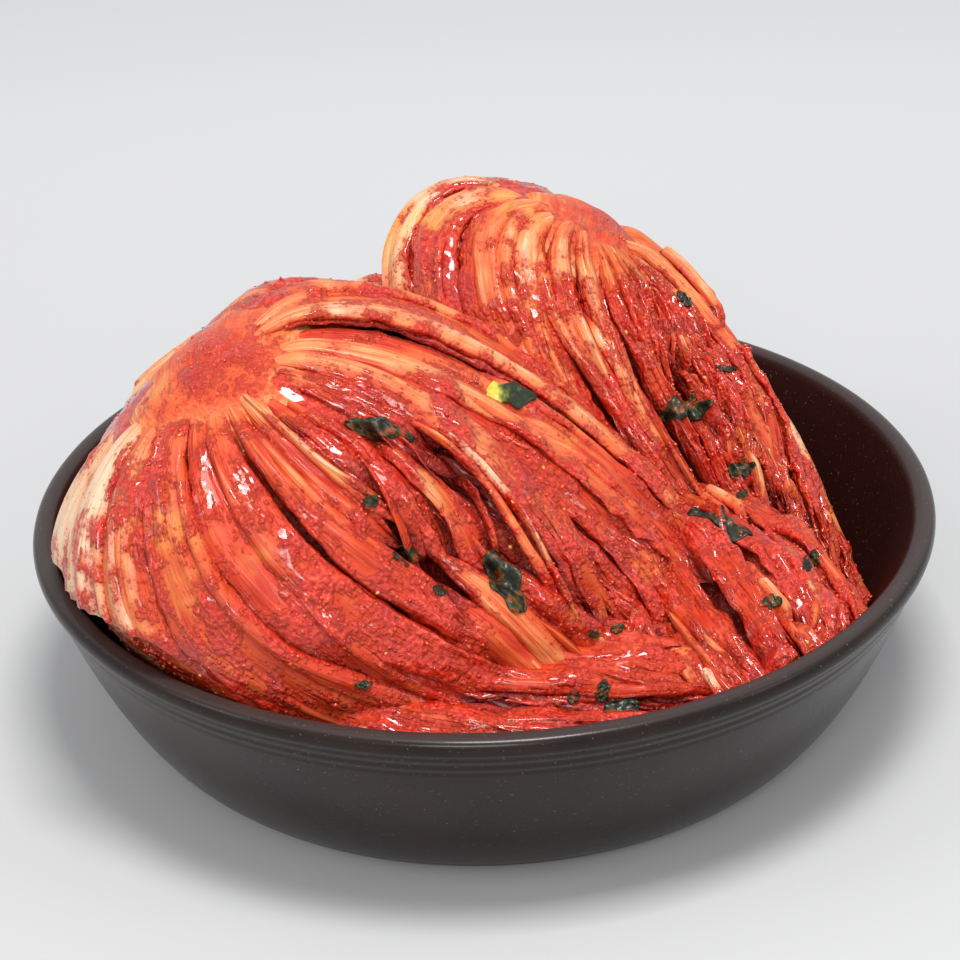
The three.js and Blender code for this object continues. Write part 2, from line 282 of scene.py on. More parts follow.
# %% Mark the inside of the basin
corners = np.empty(3 * len(basin.data.vertices))
basin.data.vertices.foreach_get("co", corners)
corners = corners.reshape(-1, 3) / MM
wall_middle = (outer_radius(np.maximum(corners[:, 2], 0.0)) + inner_radius(corners[:, 2])) / 2
inside = (np.hypot(corners[:, 0], corners[:, 1]) < wall_middle) & (corners[:, 2] > FLOOR_HEIGHT - 0.1)
basin.data.attributes.new("inside", "FLOAT", "POINT").data.foreach_set("value", inside.astype(float))
print("vertices inside the basin:", inside.sum())

# %% [markdown]
# The glaze is nearly black and red-brown on the inside, where the juice has stained it, with faint
# clouds and pale specks. The flat top of the rim is painted paler, a painted reflection. Noise and
# height on the object's own coordinates choose the colour, and the vertices say which of them are
# inside, so it all stays put when the camera moves.

# %% The glaze's colour and shine
RIM_TOP_HEIGHTS = (84.8 * MM, 85.8 * MM)
STAINED_COLOUR = (*light(38, 10, 6), 1.0)
RIM_REFLECTION_COLOUR = (*light(62, 52, 50), 1.0)
SPECK_COLOUR = (*light(96, 84, 78), 1.0)
where = glaze.place()
height = glaze.node("ShaderNodeSeparateXYZ", {}, {0: where}, "Z")
clouds = glaze.noise(where, 26.0, 4.0)
specks = glaze.noise(where, 900.0, 2.0)
dark = glaze.ramp(clouds, [(0.35, light(22, 14, 11)), (0.65, light(34, 23, 18))])
inner = glaze.attribute("inside", "Fac")
dark = glaze.mix(inner, dark, STAINED_COLOUR)
# Painted reflection: the flat top of the rim is mixed towards a paler grey.
rim_reflected = glaze.mix(0.7 * height.step(*RIM_TOP_HEIGHTS), dark, RIM_REFLECTION_COLOUR)
glaze.set(
    Base_Color=glaze.mix(specks.step(0.68, 0.74), rim_reflected, SPECK_COLOUR),
    Roughness=0.2 + 0.16 * clouds + 0.2 * inner,
    Coat_Weight=0.12 - 0.09 * inner,
    Normal=glaze.bump(clouds + 0.12 * specks, 0.0006, 0.5),
)
print("glaze nodes:", len(glaze.tree.nodes))

# %% [markdown]
# A salted cabbage is laid out like a globe pulled out of shape. Its root and its tips are two
# points on an egg, and every leaf follows the arc between them at its own angle round that line, as
# lines of longitude do. So a few angles place a leaf, and leaves spread and close again by themselves.
# The knife that took the root off left it flat, so an egg can have a soft cut, past which points
# hardly rise. Numpy moves all of a leaf's vertices at once, which is far quicker than one by one.

# %% The egg and the arcs on it
Egg = namedtuple("Egg", "centre size turn taper root tip cut", defaults=(None,))
CUT_SOFTNESS = 5.0
CUT_SHARE = 0.82


def rotation(turn):
    roll, pitch, yaw = (np.radians(angle) for angle in turn)
    spin_x = np.array([[1, 0, 0], [0, np.cos(roll), -np.sin(roll)], [0, np.sin(roll), np.cos(roll)]])
    spin_y = np.array([[np.cos(pitch), 0, np.sin(pitch)], [0, 1, 0], [-np.sin(pitch), 0, np.cos(pitch)]])
    spin_z = np.array([[np.cos(yaw), -np.sin(yaw), 0], [np.sin(yaw), np.cos(yaw), 0], [0, 0, 1]])
    return spin_z @ spin_y @ spin_x


def direction(longitude, latitude):
    longitude, latitude = np.radians(longitude), np.radians(latitude)
    level = np.cos(latitude)
    return np.array([level * np.cos(longitude), level * np.sin(longitude), np.sin(latitude)])


def unit(vectors):
    return vectors / np.linalg.norm(vectors, axis=-1, keepdims=True)


def on_arc(egg, angle, share):
    root, tip = direction(*egg.root), direction(*egg.tip)
    line = unit(tip - root)
    middle = (root + tip) / 2
    top = unit(middle - line * middle.dot(line))
    angle = np.radians(angle)[:, None]
    side = top * np.cos(angle) + np.cross(line, top) * np.sin(angle)
    pole = np.cross(side, line)
    centre = pole * (pole @ root)[:, None]
    start = root - centre
    radius = np.linalg.norm(start, axis=1, keepdims=True)
    start = start / radius
    across = unit(side - start * np.sum(side * start, axis=1, keepdims=True))
    end = tip - centre
    sweep = np.arctan2(np.sum(end * across, axis=1), np.sum(end * start, axis=1)) % (2 * np.pi)
    turned = (share * sweep)[:, None]
    return centre + radius * (start * np.cos(turned) + across * np.sin(turned))


def on_egg(egg, d, height):
    narrow = 1 - egg.taper * d[:, 0]
    axes = np.stack([np.full(len(d), egg.size[0]), egg.size[1] * narrow, egg.size[2] * narrow], axis=1)
    points = d * axes + unit(d / axes) * np.reshape(height, (-1, 1))
    points = points @ rotation(egg.turn).T + np.array(egg.centre)
    return cut_flat(points, *egg.cut) if egg.cut else points


def cut_flat(points, normal, distance):
    normal = unit(np.array(normal))
    beyond = (points @ normal - distance) / CUT_SOFTNESS
    return points - normal * (CUT_SHARE * CUT_SOFTNESS * np.logaddexp(0.0, beyond))[:, None]


ROOT_CUT = ((-0.72, 0.33, 0.62), 176.5)
front_egg = Egg((-34, -42, 80), (133, 97, 85), (10, 13, -12), 0.42, (189, 52), (343, -11), ROOT_CUT)
back_egg = Egg((60.5, 30, 91), (135, 56, 53), (-2, 37, -42), 0.27, (156, 52), (338, 34))
ends_egg = Egg((87, -68, 57), (84, 52, 40), (0, 8, -62), 0.1, (180, 30), (0, -20))
rear_egg = Egg((-72, 74, 79), (101, 59, 56), (0, -31, -10), 0.2, (190, 20), (0, 0))
print("front root at", on_egg(front_egg, direction(*front_egg.root)[None], 0)[0].round(0))

# %% [markdown]
# Nothing on food repeats. A smooth noise made from random values at the corners of a grid gives lumps
# of any size, and a seed makes it come out the same on every run.

# %% Smooth noise
def noise(points, size, seed):
    spot = points / size + seed * 3.71
    cell = np.floor(spot).astype(np.int64)
    part = spot - cell
    part = part * part * (3 - 2 * part)
    total = np.zeros(len(points))
    for corner in np.ndindex(2, 2, 2):
        place = cell + corner
        mixed = place[:, 0] * 73856093 ^ place[:, 1] * 19349663 ^ place[:, 2] * 83492791
        mixed = (mixed + seed * 9973) & 0x7FFFFFFF
        mixed = ((mixed ^ (mixed >> 13)) * 1274126177) & 0x7FFFFFFF
        mixed = (mixed ^ (mixed >> 16)) / 0x7FFFFFFF
        weight = np.prod(np.where(corner, part, 1 - part), axis=1)
        total += (2 * mixed - 1) * weight
    return total


def smooth(value, low, high):
    share = np.clip((value - low) / (high - low), 0, 1)
    return share * share * (3 - 2 * share)


sample = noise(np.random.default_rng(1).uniform(-100, 100, (2000, 3)), 8.0, 3)
print("noise spans", sample.min().round(2), "to", sample.max().round(2))

# %% [markdown]
# A leaf is a thin closed shape. Each starts as the uvsphere operator's ball, whose two poles become the
# leaf's two ends, and whose upper half gets most of the columns, as the underside is hardly seen. A
# flat grid with a Solidify modifier would need its edges rounded after that.

# %% A ball to shape leaves from
Ball = namedtuple("Ball", "mesh share across top")
TOP_SHARE = 0.68
balls = {}


def ball(columns, rows):
    if (columns, rows) not in balls:
        shape = bmesh.new()
        bmesh.ops.create_uvsphere(shape, u_segments=columns, v_segments=rows, radius=1.0)
        mesh = bpy.data.meshes.new("ball")
        shape.to_mesh(mesh)
        shape.free()
        place = np.empty(len(mesh.vertices) * 3)
        mesh.vertices.foreach_get("co", place)
        place = place.reshape(-1, 3)
        share = np.arccos(np.clip(place[:, 2], -1, 1)) / np.pi
        round_share = (np.arctan2(place[:, 1], place[:, 0]) / (2 * np.pi)) % 1.0
        round_share = np.round(round_share, 6) % 1.0
        above = round_share <= TOP_SHARE
        back_across = 2 * (round_share - TOP_SHARE) / (1 - TOP_SHARE) - 1
        across = np.where(above, 1 - 2 * round_share / TOP_SHARE, back_across)
        balls[columns, rows] = Ball(mesh, share, across, np.where(above, 1.0, -1.0))
    return balls[columns, rows]


print("ball vertices:", len(ball(24, 60).share))

# %% [markdown]
# A row of a table describes one leaf: its angle and bend in degrees, where on the arc it starts and
# ends, its width in degrees, how many millimetres it rises, how pale it is, how much paste it carries,
# how crumpled it is, and into how many strips it parts. Near the root a leaf is calm, and late towards
# its tip, where it may crumple. A leaf that starts away from the root is an inner one, and draws in
# more slowly at its start.

# %% A leaf before it is laid
Leaf = namedtuple("Leaf", "at bend start end width rise pale paste crumple strips")
Flat = namedtuple("Flat", "form grid calm late full seed")
ARC_LENGTH = 310.0
DEGREE_WIDTH = 1.55
INNER_START = 0.15
ROWS_PER_ARC = 135
ROW_LIMITS = (32, 120)
COLUMNS_PER_DEGREE = 1.5
COLUMN_LIMITS = (14, 36)
CALM_SHARES = (0.05, 0.24)
ROOT_TAPER = 0.05
INNER_TAPER = 0.25
TIP_TAPER = 0.12
SEED_SPACING = 50.0


def is_inner(leaf):
    return leaf.start > INNER_START


def flat_leaf(leaf, seed):
    span = leaf.end - leaf.start
    rows = int(np.clip(span * ROWS_PER_ARC, *ROW_LIMITS))
    columns = int(np.clip(leaf.width * COLUMNS_PER_DEGREE, *COLUMN_LIMITS))
    form = ball(columns, rows)
    s = form.share
    sideways = 0.5 * form.across * leaf.width * DEGREE_WIDTH
    grid = np.stack([sideways, s * span * ARC_LENGTH, np.full(len(s), seed * SEED_SPACING)], axis=1)
    calm = smooth(leaf.start + s * span, *CALM_SHARES)
    late = smooth(s, 0.3 - 0.2 * leaf.crumple, 0.95)
    taper = INNER_TAPER if is_inner(leaf) else ROOT_TAPER
    full = (np.clip(s / taper, 0, 1) * np.clip((1 - s) / TIP_TAPER, 0, 1)) ** 0.5
    return Flat(form, grid, calm, late, full, seed)


print("a leaf is about", ARC_LENGTH, "mm long from root to tip")

# %% [markdown]
# The same smooth noise bends a leaf sideways in slow waves, makes its edge uneven and its tip ragged.
# Each kind of wave has its own size in millimetres, as on the real leaf.

# %% Where a leaf lies on its egg
WANDER_SIZE = 40.0
EDGE_SIZE = 24.0
NICK_SIZE = 5.0
RAGGED_SIZE = 4.0
EDGE_APART = 9.0
OUTER_BEND_POWER = 3
INNER_BEND_POWER = 1.4


def leaf_directions(egg, leaf, flat):
    s, x = flat.form.share, flat.form.across
    line = flat.grid * (0, 1, 1)
    tip_noise = noise(flat.grid * (1, 0, 1), RAGGED_SIZE, flat.seed + 5)
    ragged = 1 + 0.09 * leaf.crumple * flat.late * tip_noise
    share = leaf.start + (leaf.end - leaf.start) * s * ragged
    wander = (1.0 + 3.6 * flat.late * leaf.crumple) * noise(line, WANDER_SIZE, flat.seed) * flat.calm
    edge = line + (EDGE_APART * np.sign(x))[:, None]
    waves = 0.32 * flat.calm * noise(edge, EDGE_SIZE, flat.seed + 1)
    nicks = (0.05 + 0.14 * flat.late) * noise(edge, NICK_SIZE, flat.seed + 7)
    bent = leaf.bend * s ** (INNER_BEND_POWER if is_inner(leaf) else OUTER_BEND_POWER)
    angle = leaf.at + bent + wander + 0.5 * leaf.width * flat.full * (1 + waves + nicks) * x
    return on_arc(egg, angle, np.clip(share, 0.005, 0.995))


print("a leaf's edge waves over about", EDGE_SIZE, "mm")

# %% [markdown]
# Near the root a leaf is a juicy stalk, thick and arched. Further out it thins, folds lengthwise into
# ribs and pleats, and crumples. The ends of inner leaves dive under their neighbours, as they do in a
# head, so no cut end stands in the air.

# %% How high a leaf stands over its egg
STALK_ARCH = 3.6
STALK_THICK = 3.6
TIP_THINNER = 2.4
SINK = 4.6
TILT = 1.5
RIB_SIZE = 3.6
PLEAT_SIZE = 9.0
CRUMPLE_SIZE = 17.0
WRINKLE_SIZE = 7.0
ROOT_DIVE = 7.0
START_DIVE = 9.0
END_DIVE = 6.0
SHORT_END = 0.7


def pleats_of(flat):
    return 1 - 2 * np.abs(noise(flat.grid * (1.0, 0.1, 1.0), PLEAT_SIZE, flat.seed + 6))


def leaf_heights(leaf, flat, pleats):
    s, x, calm, late = flat.form.share, flat.form.across, flat.calm, flat.late
    ribs = noise(flat.grid * (1.0, 0.08, 1.0), RIB_SIZE, flat.seed + 2)
    crumpled = noise(flat.grid, CRUMPLE_SIZE, flat.seed + 3)
    crumpled = crumpled + 0.4 * noise(flat.grid, WRINKLE_SIZE, flat.seed + 4)
    tilt = np.sin(flat.seed * 2.4) * TILT * calm
    arch = STALK_ARCH * (1 - np.abs(x) ** 2.2) * (1 - 0.3 * s) * (0.1 + 0.9 * calm)
    thick = (STALK_THICK - TIP_THINNER * late) * np.sqrt(1 - np.abs(x) ** 3) * flat.full
    dive = ROOT_DIVE * (1 - smooth(leaf.start + s * (leaf.end - leaf.start), 0.02, 0.13))
    dive = dive + START_DIVE * (1 - smooth(s, 0.0, 0.3)) * is_inner(leaf)
    dive = dive + END_DIVE * smooth(s, 0.75, 1.0) * (leaf.end < SHORT_END)
    folds = calm * (0.45 * ribs + (0.9 + 1.5 * late * leaf.crumple) * pleats)
    crumples = (0.3 + 2.6 * late) * leaf.crumple * calm * crumpled
    return leaf.rise - SINK + arch + tilt * x + folds + crumples - dive + 0.5 * flat.form.top * thick


print("a stalk is", STALK_THICK, "mm thick and its tip", round(STALK_THICK - TIP_THINNER, 1), "mm")

# %% [markdown]
# The paste clings in patches. It fills the creases between leaves, thins out over the crowns of the
# stalks and hides most of the tips. One number at each vertex says how deep the paste is there. It
# lifts the surface a little with grain, and the finish reads the same number to choose paste or bare
# leaf.

# %% Paste on a leaf
Patch = namedtuple("Patch", "size weight seed")
PATCHES = [Patch(21.0, 0.5, 11), Patch(8.0, 0.55, 12), Patch(4.0, 0.4, 13)]


def paste_depth(points, across, late, leaf):
    patches = sum(patch.weight * noise(points, patch.size, patch.seed) for patch in PATCHES)
    at_edges = 0.6 * np.abs(across) ** 3
    return leaf.paste - 0.5 + patches + at_edges + 0.2 * late


def pasted(egg, d, height, depth):
    points = on_egg(egg, d, height)
    grain = noise(points, 5.5, 14) + 0.8 * noise(points, 3.0, 15)
    relief = smooth(depth, -0.1, 0.5) * (0.8 + 1.0 * grain)
    return on_egg(egg, d, height + relief)


print("sizes of the paste's patches:", [patch.size for patch in PATCHES])

# %% [markdown]
# The heap has to fit its basin. Each vertex that would pass the wall is pulled back towards the axis.
# In front and at the right the leaves touch the wall, at the left they keep a gap, and a little over
# the rim they may hang outwards.

# %% Keep the leaves inside the basin
WALL_GAP = 1.0
LEFT_GAP = 6.0
LEFT_SPAN = (50.0, 110.0)
HANG = 0.6
FREE_HEIGHTS = (15.0, 50.0)
FREE_ROOM = 200.0
LEAST_HEIGHT = FLOOR_HEIGHT + 0.6


def in_basin(points):
    x, y, z = points.T
    over = z - BOWL_HEIGHT
    gap_at_left = LEFT_GAP - 3.5 * smooth(-y, 60.0, 100.0) + 3.0 * smooth(-over, 0.0, 15.0)
    gap = WALL_GAP + smooth(-x, *LEFT_SPAN) * gap_at_left
    room = inner_radius(z) - gap + HANG * np.maximum(over, 0.0) + FREE_ROOM * smooth(over, *FREE_HEIGHTS)
    fit = np.minimum(1.0, room / np.maximum(np.hypot(x, y), 1e-6))
    return np.stack([x * fit, y * fit, np.maximum(z, LEAST_HEIGHT)], axis=1)


print("the basin's mouth is", 2 * MOUTH_RADIUS, "mm wide")

# %% [markdown]
# Many leaves share one object, because hundreds of objects are slow to handle. Copies of the ball are
# gathered in a bmesh, and then all the vertices move to their places in one go. Each vertex also keeps
# how deep its paste is, how pale its leaf is with painted shade in the creases and a painted highlight
# on the crests of the pleats, and its place along and across the leaf, for the finish.
# An object stays under two hundred thousand triangles, so a cabbage takes a few of them.

# %% Gather leaves into objects
MOST_TRIANGLES = 170000
kimchi = Finish("paste and leaf", Coat_Roughness=0.07, Subsurface_Weight=0.12, Specular_IOR_Level=0.3)
kimchi.shader.inputs["Subsurface Radius"].default_value = (1.0, 0.35, 0.2)
kimchi.shader.inputs["Subsurface Scale"].default_value = 0.004


def write_mesh(name, forms, points, depths, pales_with_painted_light, flows):
    shape = bmesh.new()
    for form in forms:
        shape.from_mesh(form.mesh)
    mesh = bpy.data.meshes.new(name)
    shape.to_mesh(mesh)
    shape.free()
    mesh.vertices.foreach_set("co", (np.vstack(points) * MM).ravel())
    for key, kind, field, values in (
        ("paste", "FLOAT", "value", np.concatenate(depths)),
        ("pale", "FLOAT", "value", np.concatenate(pales_with_painted_light)),
        ("flow", "FLOAT_VECTOR", "vector", np.vstack(flows).ravel()),
    ):
        mesh.attributes.new(key, kind, "POINT").data.foreach_set(field, values)
    return mesh


def outward(mesh):
    shape = bmesh.new()
    shape.from_mesh(mesh)
    if shape.calc_volume(signed=True) < 0:
        bmesh.ops.reverse_faces(shape, faces=shape.faces[:])
        shape.to_mesh(mesh)
    shape.free()
    mesh.update()
    return mesh


def gather(name, node, strands):
    made = []
    batch = []
    faces = 0
    for strand in strands:
        batch.append(strand)
        faces += 2 * len(strand[0].share)
        if faces > MOST_TRIANGLES or strand is strands[-1]:
            mesh = outward(write_mesh(name, *zip(*batch)))
            made.append(finished_object(f"{name}_{len(made) + 1}", mesh, kimchi))
            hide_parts(node)
            batch = []
            faces = 0
    return made


print("leaves are gathered by", MOST_TRIANGLES, "triangles")

# %% [markdown]
# A cabbage leaf seen from outside is rarely one smooth band. It has a ragged sheet underneath and one
# or two ribs that part and cross. So each row of a table is laid as a low sheet with strips over it
# and one or two narrow strands on top, whose angles, heights and tones differ by a small seeded chance.

# %% Part a leaf into strips
SHEET_DROP = 1.8
ROOT_SHARE = 0.1
OUTER_STRANDS = 2
INNER_STRANDS = 1


def strips_of(leaf, chance):
    start = 0.0 if leaf.start < ROOT_SHARE else leaf.start
    sheet = leaf._replace(start=start, rise=leaf.rise - SHEET_DROP)
    strips = [sheet._replace(paste=leaf.paste + 0.12, pale=leaf.pale - 0.15)]
    cuts = np.cumsum([0.0] + [chance.uniform(0.6, 1.4) for _ in range(leaf.strips)])
    edges = cuts / (cuts[-1] or 1.0)
    for low, high in zip(edges, edges[1:]):
        strips.append(leaf._replace(
            at=leaf.at + ((low + high) / 2 - 0.5) * leaf.width + chance.uniform(-1, 1),
            bend=leaf.bend + chance.uniform(-1, 1) * 3 * leaf.strips,
            end=leaf.end - chance.uniform(0, 0.1) * (leaf.end - leaf.start),
            width=(high - low) * leaf.width * chance.uniform(0.85, 1.1),
            rise=leaf.rise + chance.uniform(-0.8, 1.2),
            pale=leaf.pale + chance.uniform(-0.12, 0.12),
            paste=leaf.paste + chance.uniform(-0.12, 0.12),
        ))
    for _ in range(INNER_STRANDS if is_inner(leaf) else OUTER_STRANDS):
        strips.append(leaf._replace(
            at=leaf.at + leaf.width * chance.uniform(-0.55, 0.55),
            bend=leaf.bend + chance.uniform(-8, 8),
            start=leaf.start + chance.uniform(0.07, 0.45) * (leaf.end - leaf.start),
            end=leaf.end - chance.uniform(0, 0.15) * (leaf.end - leaf.start),
            width=chance.uniform(3.5, 7.5),
            rise=leaf.rise + chance.uniform(0.0, 1.6),
            pale=leaf.pale + chance.uniform(-0.3, 0.3),
            crumple=0.9,
        ))
    return strips


trial_leaf = Leaf(0, 0, 0.05, 0.9, 20, 0, 0.5, 0.5, 1.0, 2)
print("strips of one leaf:", len(strips_of(trial_leaf, np.random.default_rng(1))))

# %% [markdown]
# What makes a head of leaves readable is the shade between them, painted here as dark red. For every
# vertex the script asks how far it lies under the leaves around it, and the deeper it lies, the more
# painted shade it gets. The space round the egg is cut into small cells, each cell keeps its highest
# vertex, and the mean of the cells round a vertex is the level that it is measured from. That is far
# quicker than a ray for each of a million vertices.

# %% How deep each vertex lies between the leaves
CELLS = 34
ALL_CELLS = 2 * CELLS + 4
LOWEST = -60.0


def cell_place(d):
    return (d + 1.0) * CELLS + 1.0


def highest_around(values):
    for axis in range(3):
        values = np.maximum(values, np.maximum(np.roll(values, 1, axis), np.roll(values, -1, axis)))
    return values


def sum_around(values):
    for axis in range(3):
        values = values + np.roll(values, 1, axis) + np.roll(values, -1, axis)
    return values


def depths_below(directions, heights):
    top = np.full((ALL_CELLS,) * 3, LOWEST)
    for d, height in zip(directions, heights):
        np.maximum.at(top, tuple((cell_place(d) + 0.5).astype(int).T), height)
    top = highest_around(top)
    filled = (top > LOWEST).astype(float)
    level = sum_around(top * filled) / np.maximum(sum_around(filled), 1.0)
    depths = []
    for d, height in zip(directions, heights):
        spot = cell_place(d)
        cell = np.floor(spot).astype(int)
        part = spot - cell
        near = np.zeros(len(d))
        for corner in np.ndindex(2, 2, 2):
            near += level[tuple((cell + corner).T)] * np.prod(np.where(corner, part, 1 - part), axis=1)
        depths.append(near - height)
    return depths


print("cells round an egg:", ALL_CELLS ** 3)

# %% Lay a table of leaves on an egg
ROOT_CALM = 52.0
CREASE_DEPTHS = (1.2, 7.0)
CREASE_SHADE = 1.1
ROOT_PALE = 0.6
FLOW_SPACING = 7.3


def root_place(egg):
    return on_egg(egg, direction(*egg.root)[None], 0)[0]


def lay(egg, leaves, seed):
    chance = np.random.default_rng(seed)
    strips = [strip for leaf in leaves for strip in strips_of(leaf, chance)]
    flats = [flat_leaf(strip, seed * 100 + number) for number, strip in enumerate(strips)]
    folds = [pleats_of(flat) for flat in flats]
    directions = [leaf_directions(egg, strip, flat) for strip, flat in zip(strips, flats)]
    heights = [leaf_heights(*each) for each in zip(strips, flats, folds)]
    strands = []
    below = depths_below(directions, heights)
    for strip, flat, fold, d, height, fall in zip(strips, flats, folds, directions, heights, below):
        bare = on_egg(egg, d, height)
        near = 1 - smooth(np.linalg.norm(bare - root_place(egg), axis=1), ROOT_CALM / 2, ROOT_CALM)
        crease = smooth(fall, *CREASE_DEPTHS) * (1 - near)
        depth = paste_depth(bare, flat.form.across, flat.late, strip) - 0.45 * near + 0.25 * crease
        # Painted highlight: the pale number rises a little on the crests of the pleats.
        pale = strip.pale * (1 - 0.35 * flat.late) + 0.06 * fold + 0.16 * noise(bare, 22.0, 16)
        # Painted shade: in the creases the pale number drops, and below zero the finish paints it dark
        # red.
        pale = pale + near * (ROOT_PALE - pale) - CREASE_SHADE * crease
        flow = flat.grid * (1, 1, FLOW_SPACING / SEED_SPACING)
        strands.append((flat.form, in_basin(pasted(egg, d, height, depth)), depth, pale, flow))
    return strands


print("leaves are calm within", ROOT_CALM / 2, "mm of the root")

# %% Short torn leaves, crumpled and turned every way
def scraps(number, angles, shares, rise, seed):
    chance = np.random.default_rng(seed)
    rows = []
    for _ in range(number):
        start = chance.uniform(*shares)
        rows.append(Leaf(
            at=chance.uniform(*angles),
            bend=chance.uniform(-24, 24),
            start=start,
            end=min(start + chance.uniform(0.12, 0.3), 0.97),
            width=chance.uniform(12, 32),
            rise=rise + chance.uniform(-2.0, 1.5),
            pale=chance.uniform(0.25, 0.95),
            paste=chance.uniform(0.05, 0.55),
            crumple=chance.uniform(1.3, 2.0),
            strips=0,
        ))
    return rows


print("torn leaves in a trial:", len(scraps(3, (0, 90), (0.2, 0.6), rise=2.0, seed=1)))

# %% [markdown]
# Under its leaves each cabbage has a core of inner leaves, which shows only in the gaps, and at one end
# the cut root, a low cushion that the stalks grow from. Away from the root the core carries painted
# shade: its pale number is below zero, so it turns a dark wet red. Both are balls again. The core
# follows the egg a little below the leaves, rises to meet the root, and can have a hollow. The cushion
# sits flat on the root's point.

# %% Cores and their hollows
Hollow = namedtuple("Hollow", "at share drop reach")
CORE_DEPTH = 8.5
CORE_PASTE = 0.5
CORE_RISE = 7.0
CORE_ROOT_SPAN = (40.0, 90.0)


def angle_round(form):
    return np.arctan2(form.top * np.sqrt(np.clip(1 - form.across ** 2, 0, 1)), form.across)


def core_strand(egg, hollow=None):
    form = ball(120, 80)
    polar, round_angle = form.share * np.pi, angle_round(form)
    level = np.sin(polar)
    d = np.stack([np.cos(polar), level * np.cos(round_angle), level * np.sin(round_angle)], axis=1)
    depth = np.full(len(d), CORE_PASTE)
    height = np.full(len(d), -CORE_DEPTH)
    if hollow:
        spot = on_arc(egg, np.array([float(hollow.at)]), np.array([hollow.share]))[0]
        height = height - hollow.drop * np.exp(-(np.linalg.norm(d - spot, axis=1) / hollow.reach) ** 2)
    bare = on_egg(egg, d, 0)
    near = 1 - smooth(np.linalg.norm(bare - root_place(egg), axis=1), *CORE_ROOT_SPAN)
    height = height + CORE_RISE * near + 2.0 * noise(bare, 9.0, 21)
    points = in_basin(pasted(egg, d, height, depth))
    # Painted shade: away from the root the core's pale number goes below zero, which the finish paints
    # dark red.
    return form, points, depth, 1.4 * near - 1.0, points.copy()


print("cores lie", CORE_DEPTH, "mm under the leaves' crowns")

# %% Cut roots
ROOT_TOP = 2.6
ROOT_EDGE = -3.0


def root_strand(egg, radius):
    form = ball(72, 60)
    round_angle = angle_round(form)
    root = direction(*egg.root)
    first = unit(np.cross(root, (0.0, 0.0, 1.0)))
    heading = first * np.cos(round_angle)[:, None] + np.cross(root, first) * np.sin(round_angle)[:, None]
    polar = form.share * np.pi
    level = np.sin(polar)
    lobes = 1 + 0.1 * np.cos(5 * round_angle + 1.0) + 0.06 * np.cos(9 * round_angle + 2.0)
    reach = radius * level * lobes / np.linalg.norm(heading * egg.size, axis=1)
    d = unit(root + heading * reach[:, None])
    bare = on_egg(egg, d, 0)
    height = ROOT_EDGE + (ROOT_TOP - ROOT_EDGE) * np.cos(polar)
    height = height + 1.2 * noise(bare, 13.0, 31) + 0.5 * noise(bare, 5.0, 32)
    depth = 0.15 - 1.3 * level ** 2 + 0.4 * noise(bare, 11.0, 33) + 0.35 * noise(bare, 4.0, 35)
    pale = 0.36 + 0.3 * level ** 1.5 + 0.12 * noise(bare, 9.0, 34)
    return form, in_basin(pasted(egg, d, height, depth)), depth, pale, bare


print("a cut root stands", ROOT_TOP - ROOT_EDGE, "mm over its edge")

# %% [markdown]
# The front cabbage lies with its root up at the back left. Its outer leaves at the left are almost
# bare and cream, its stalks fan to the right and down to the front, some twist over a dark hollow where
# short torn leaves end, and the tips at the front right are soft, crumpled and red. Under it a bed of
# red leaf ends, on a wide low egg of its own, fills the basin to the front wall.

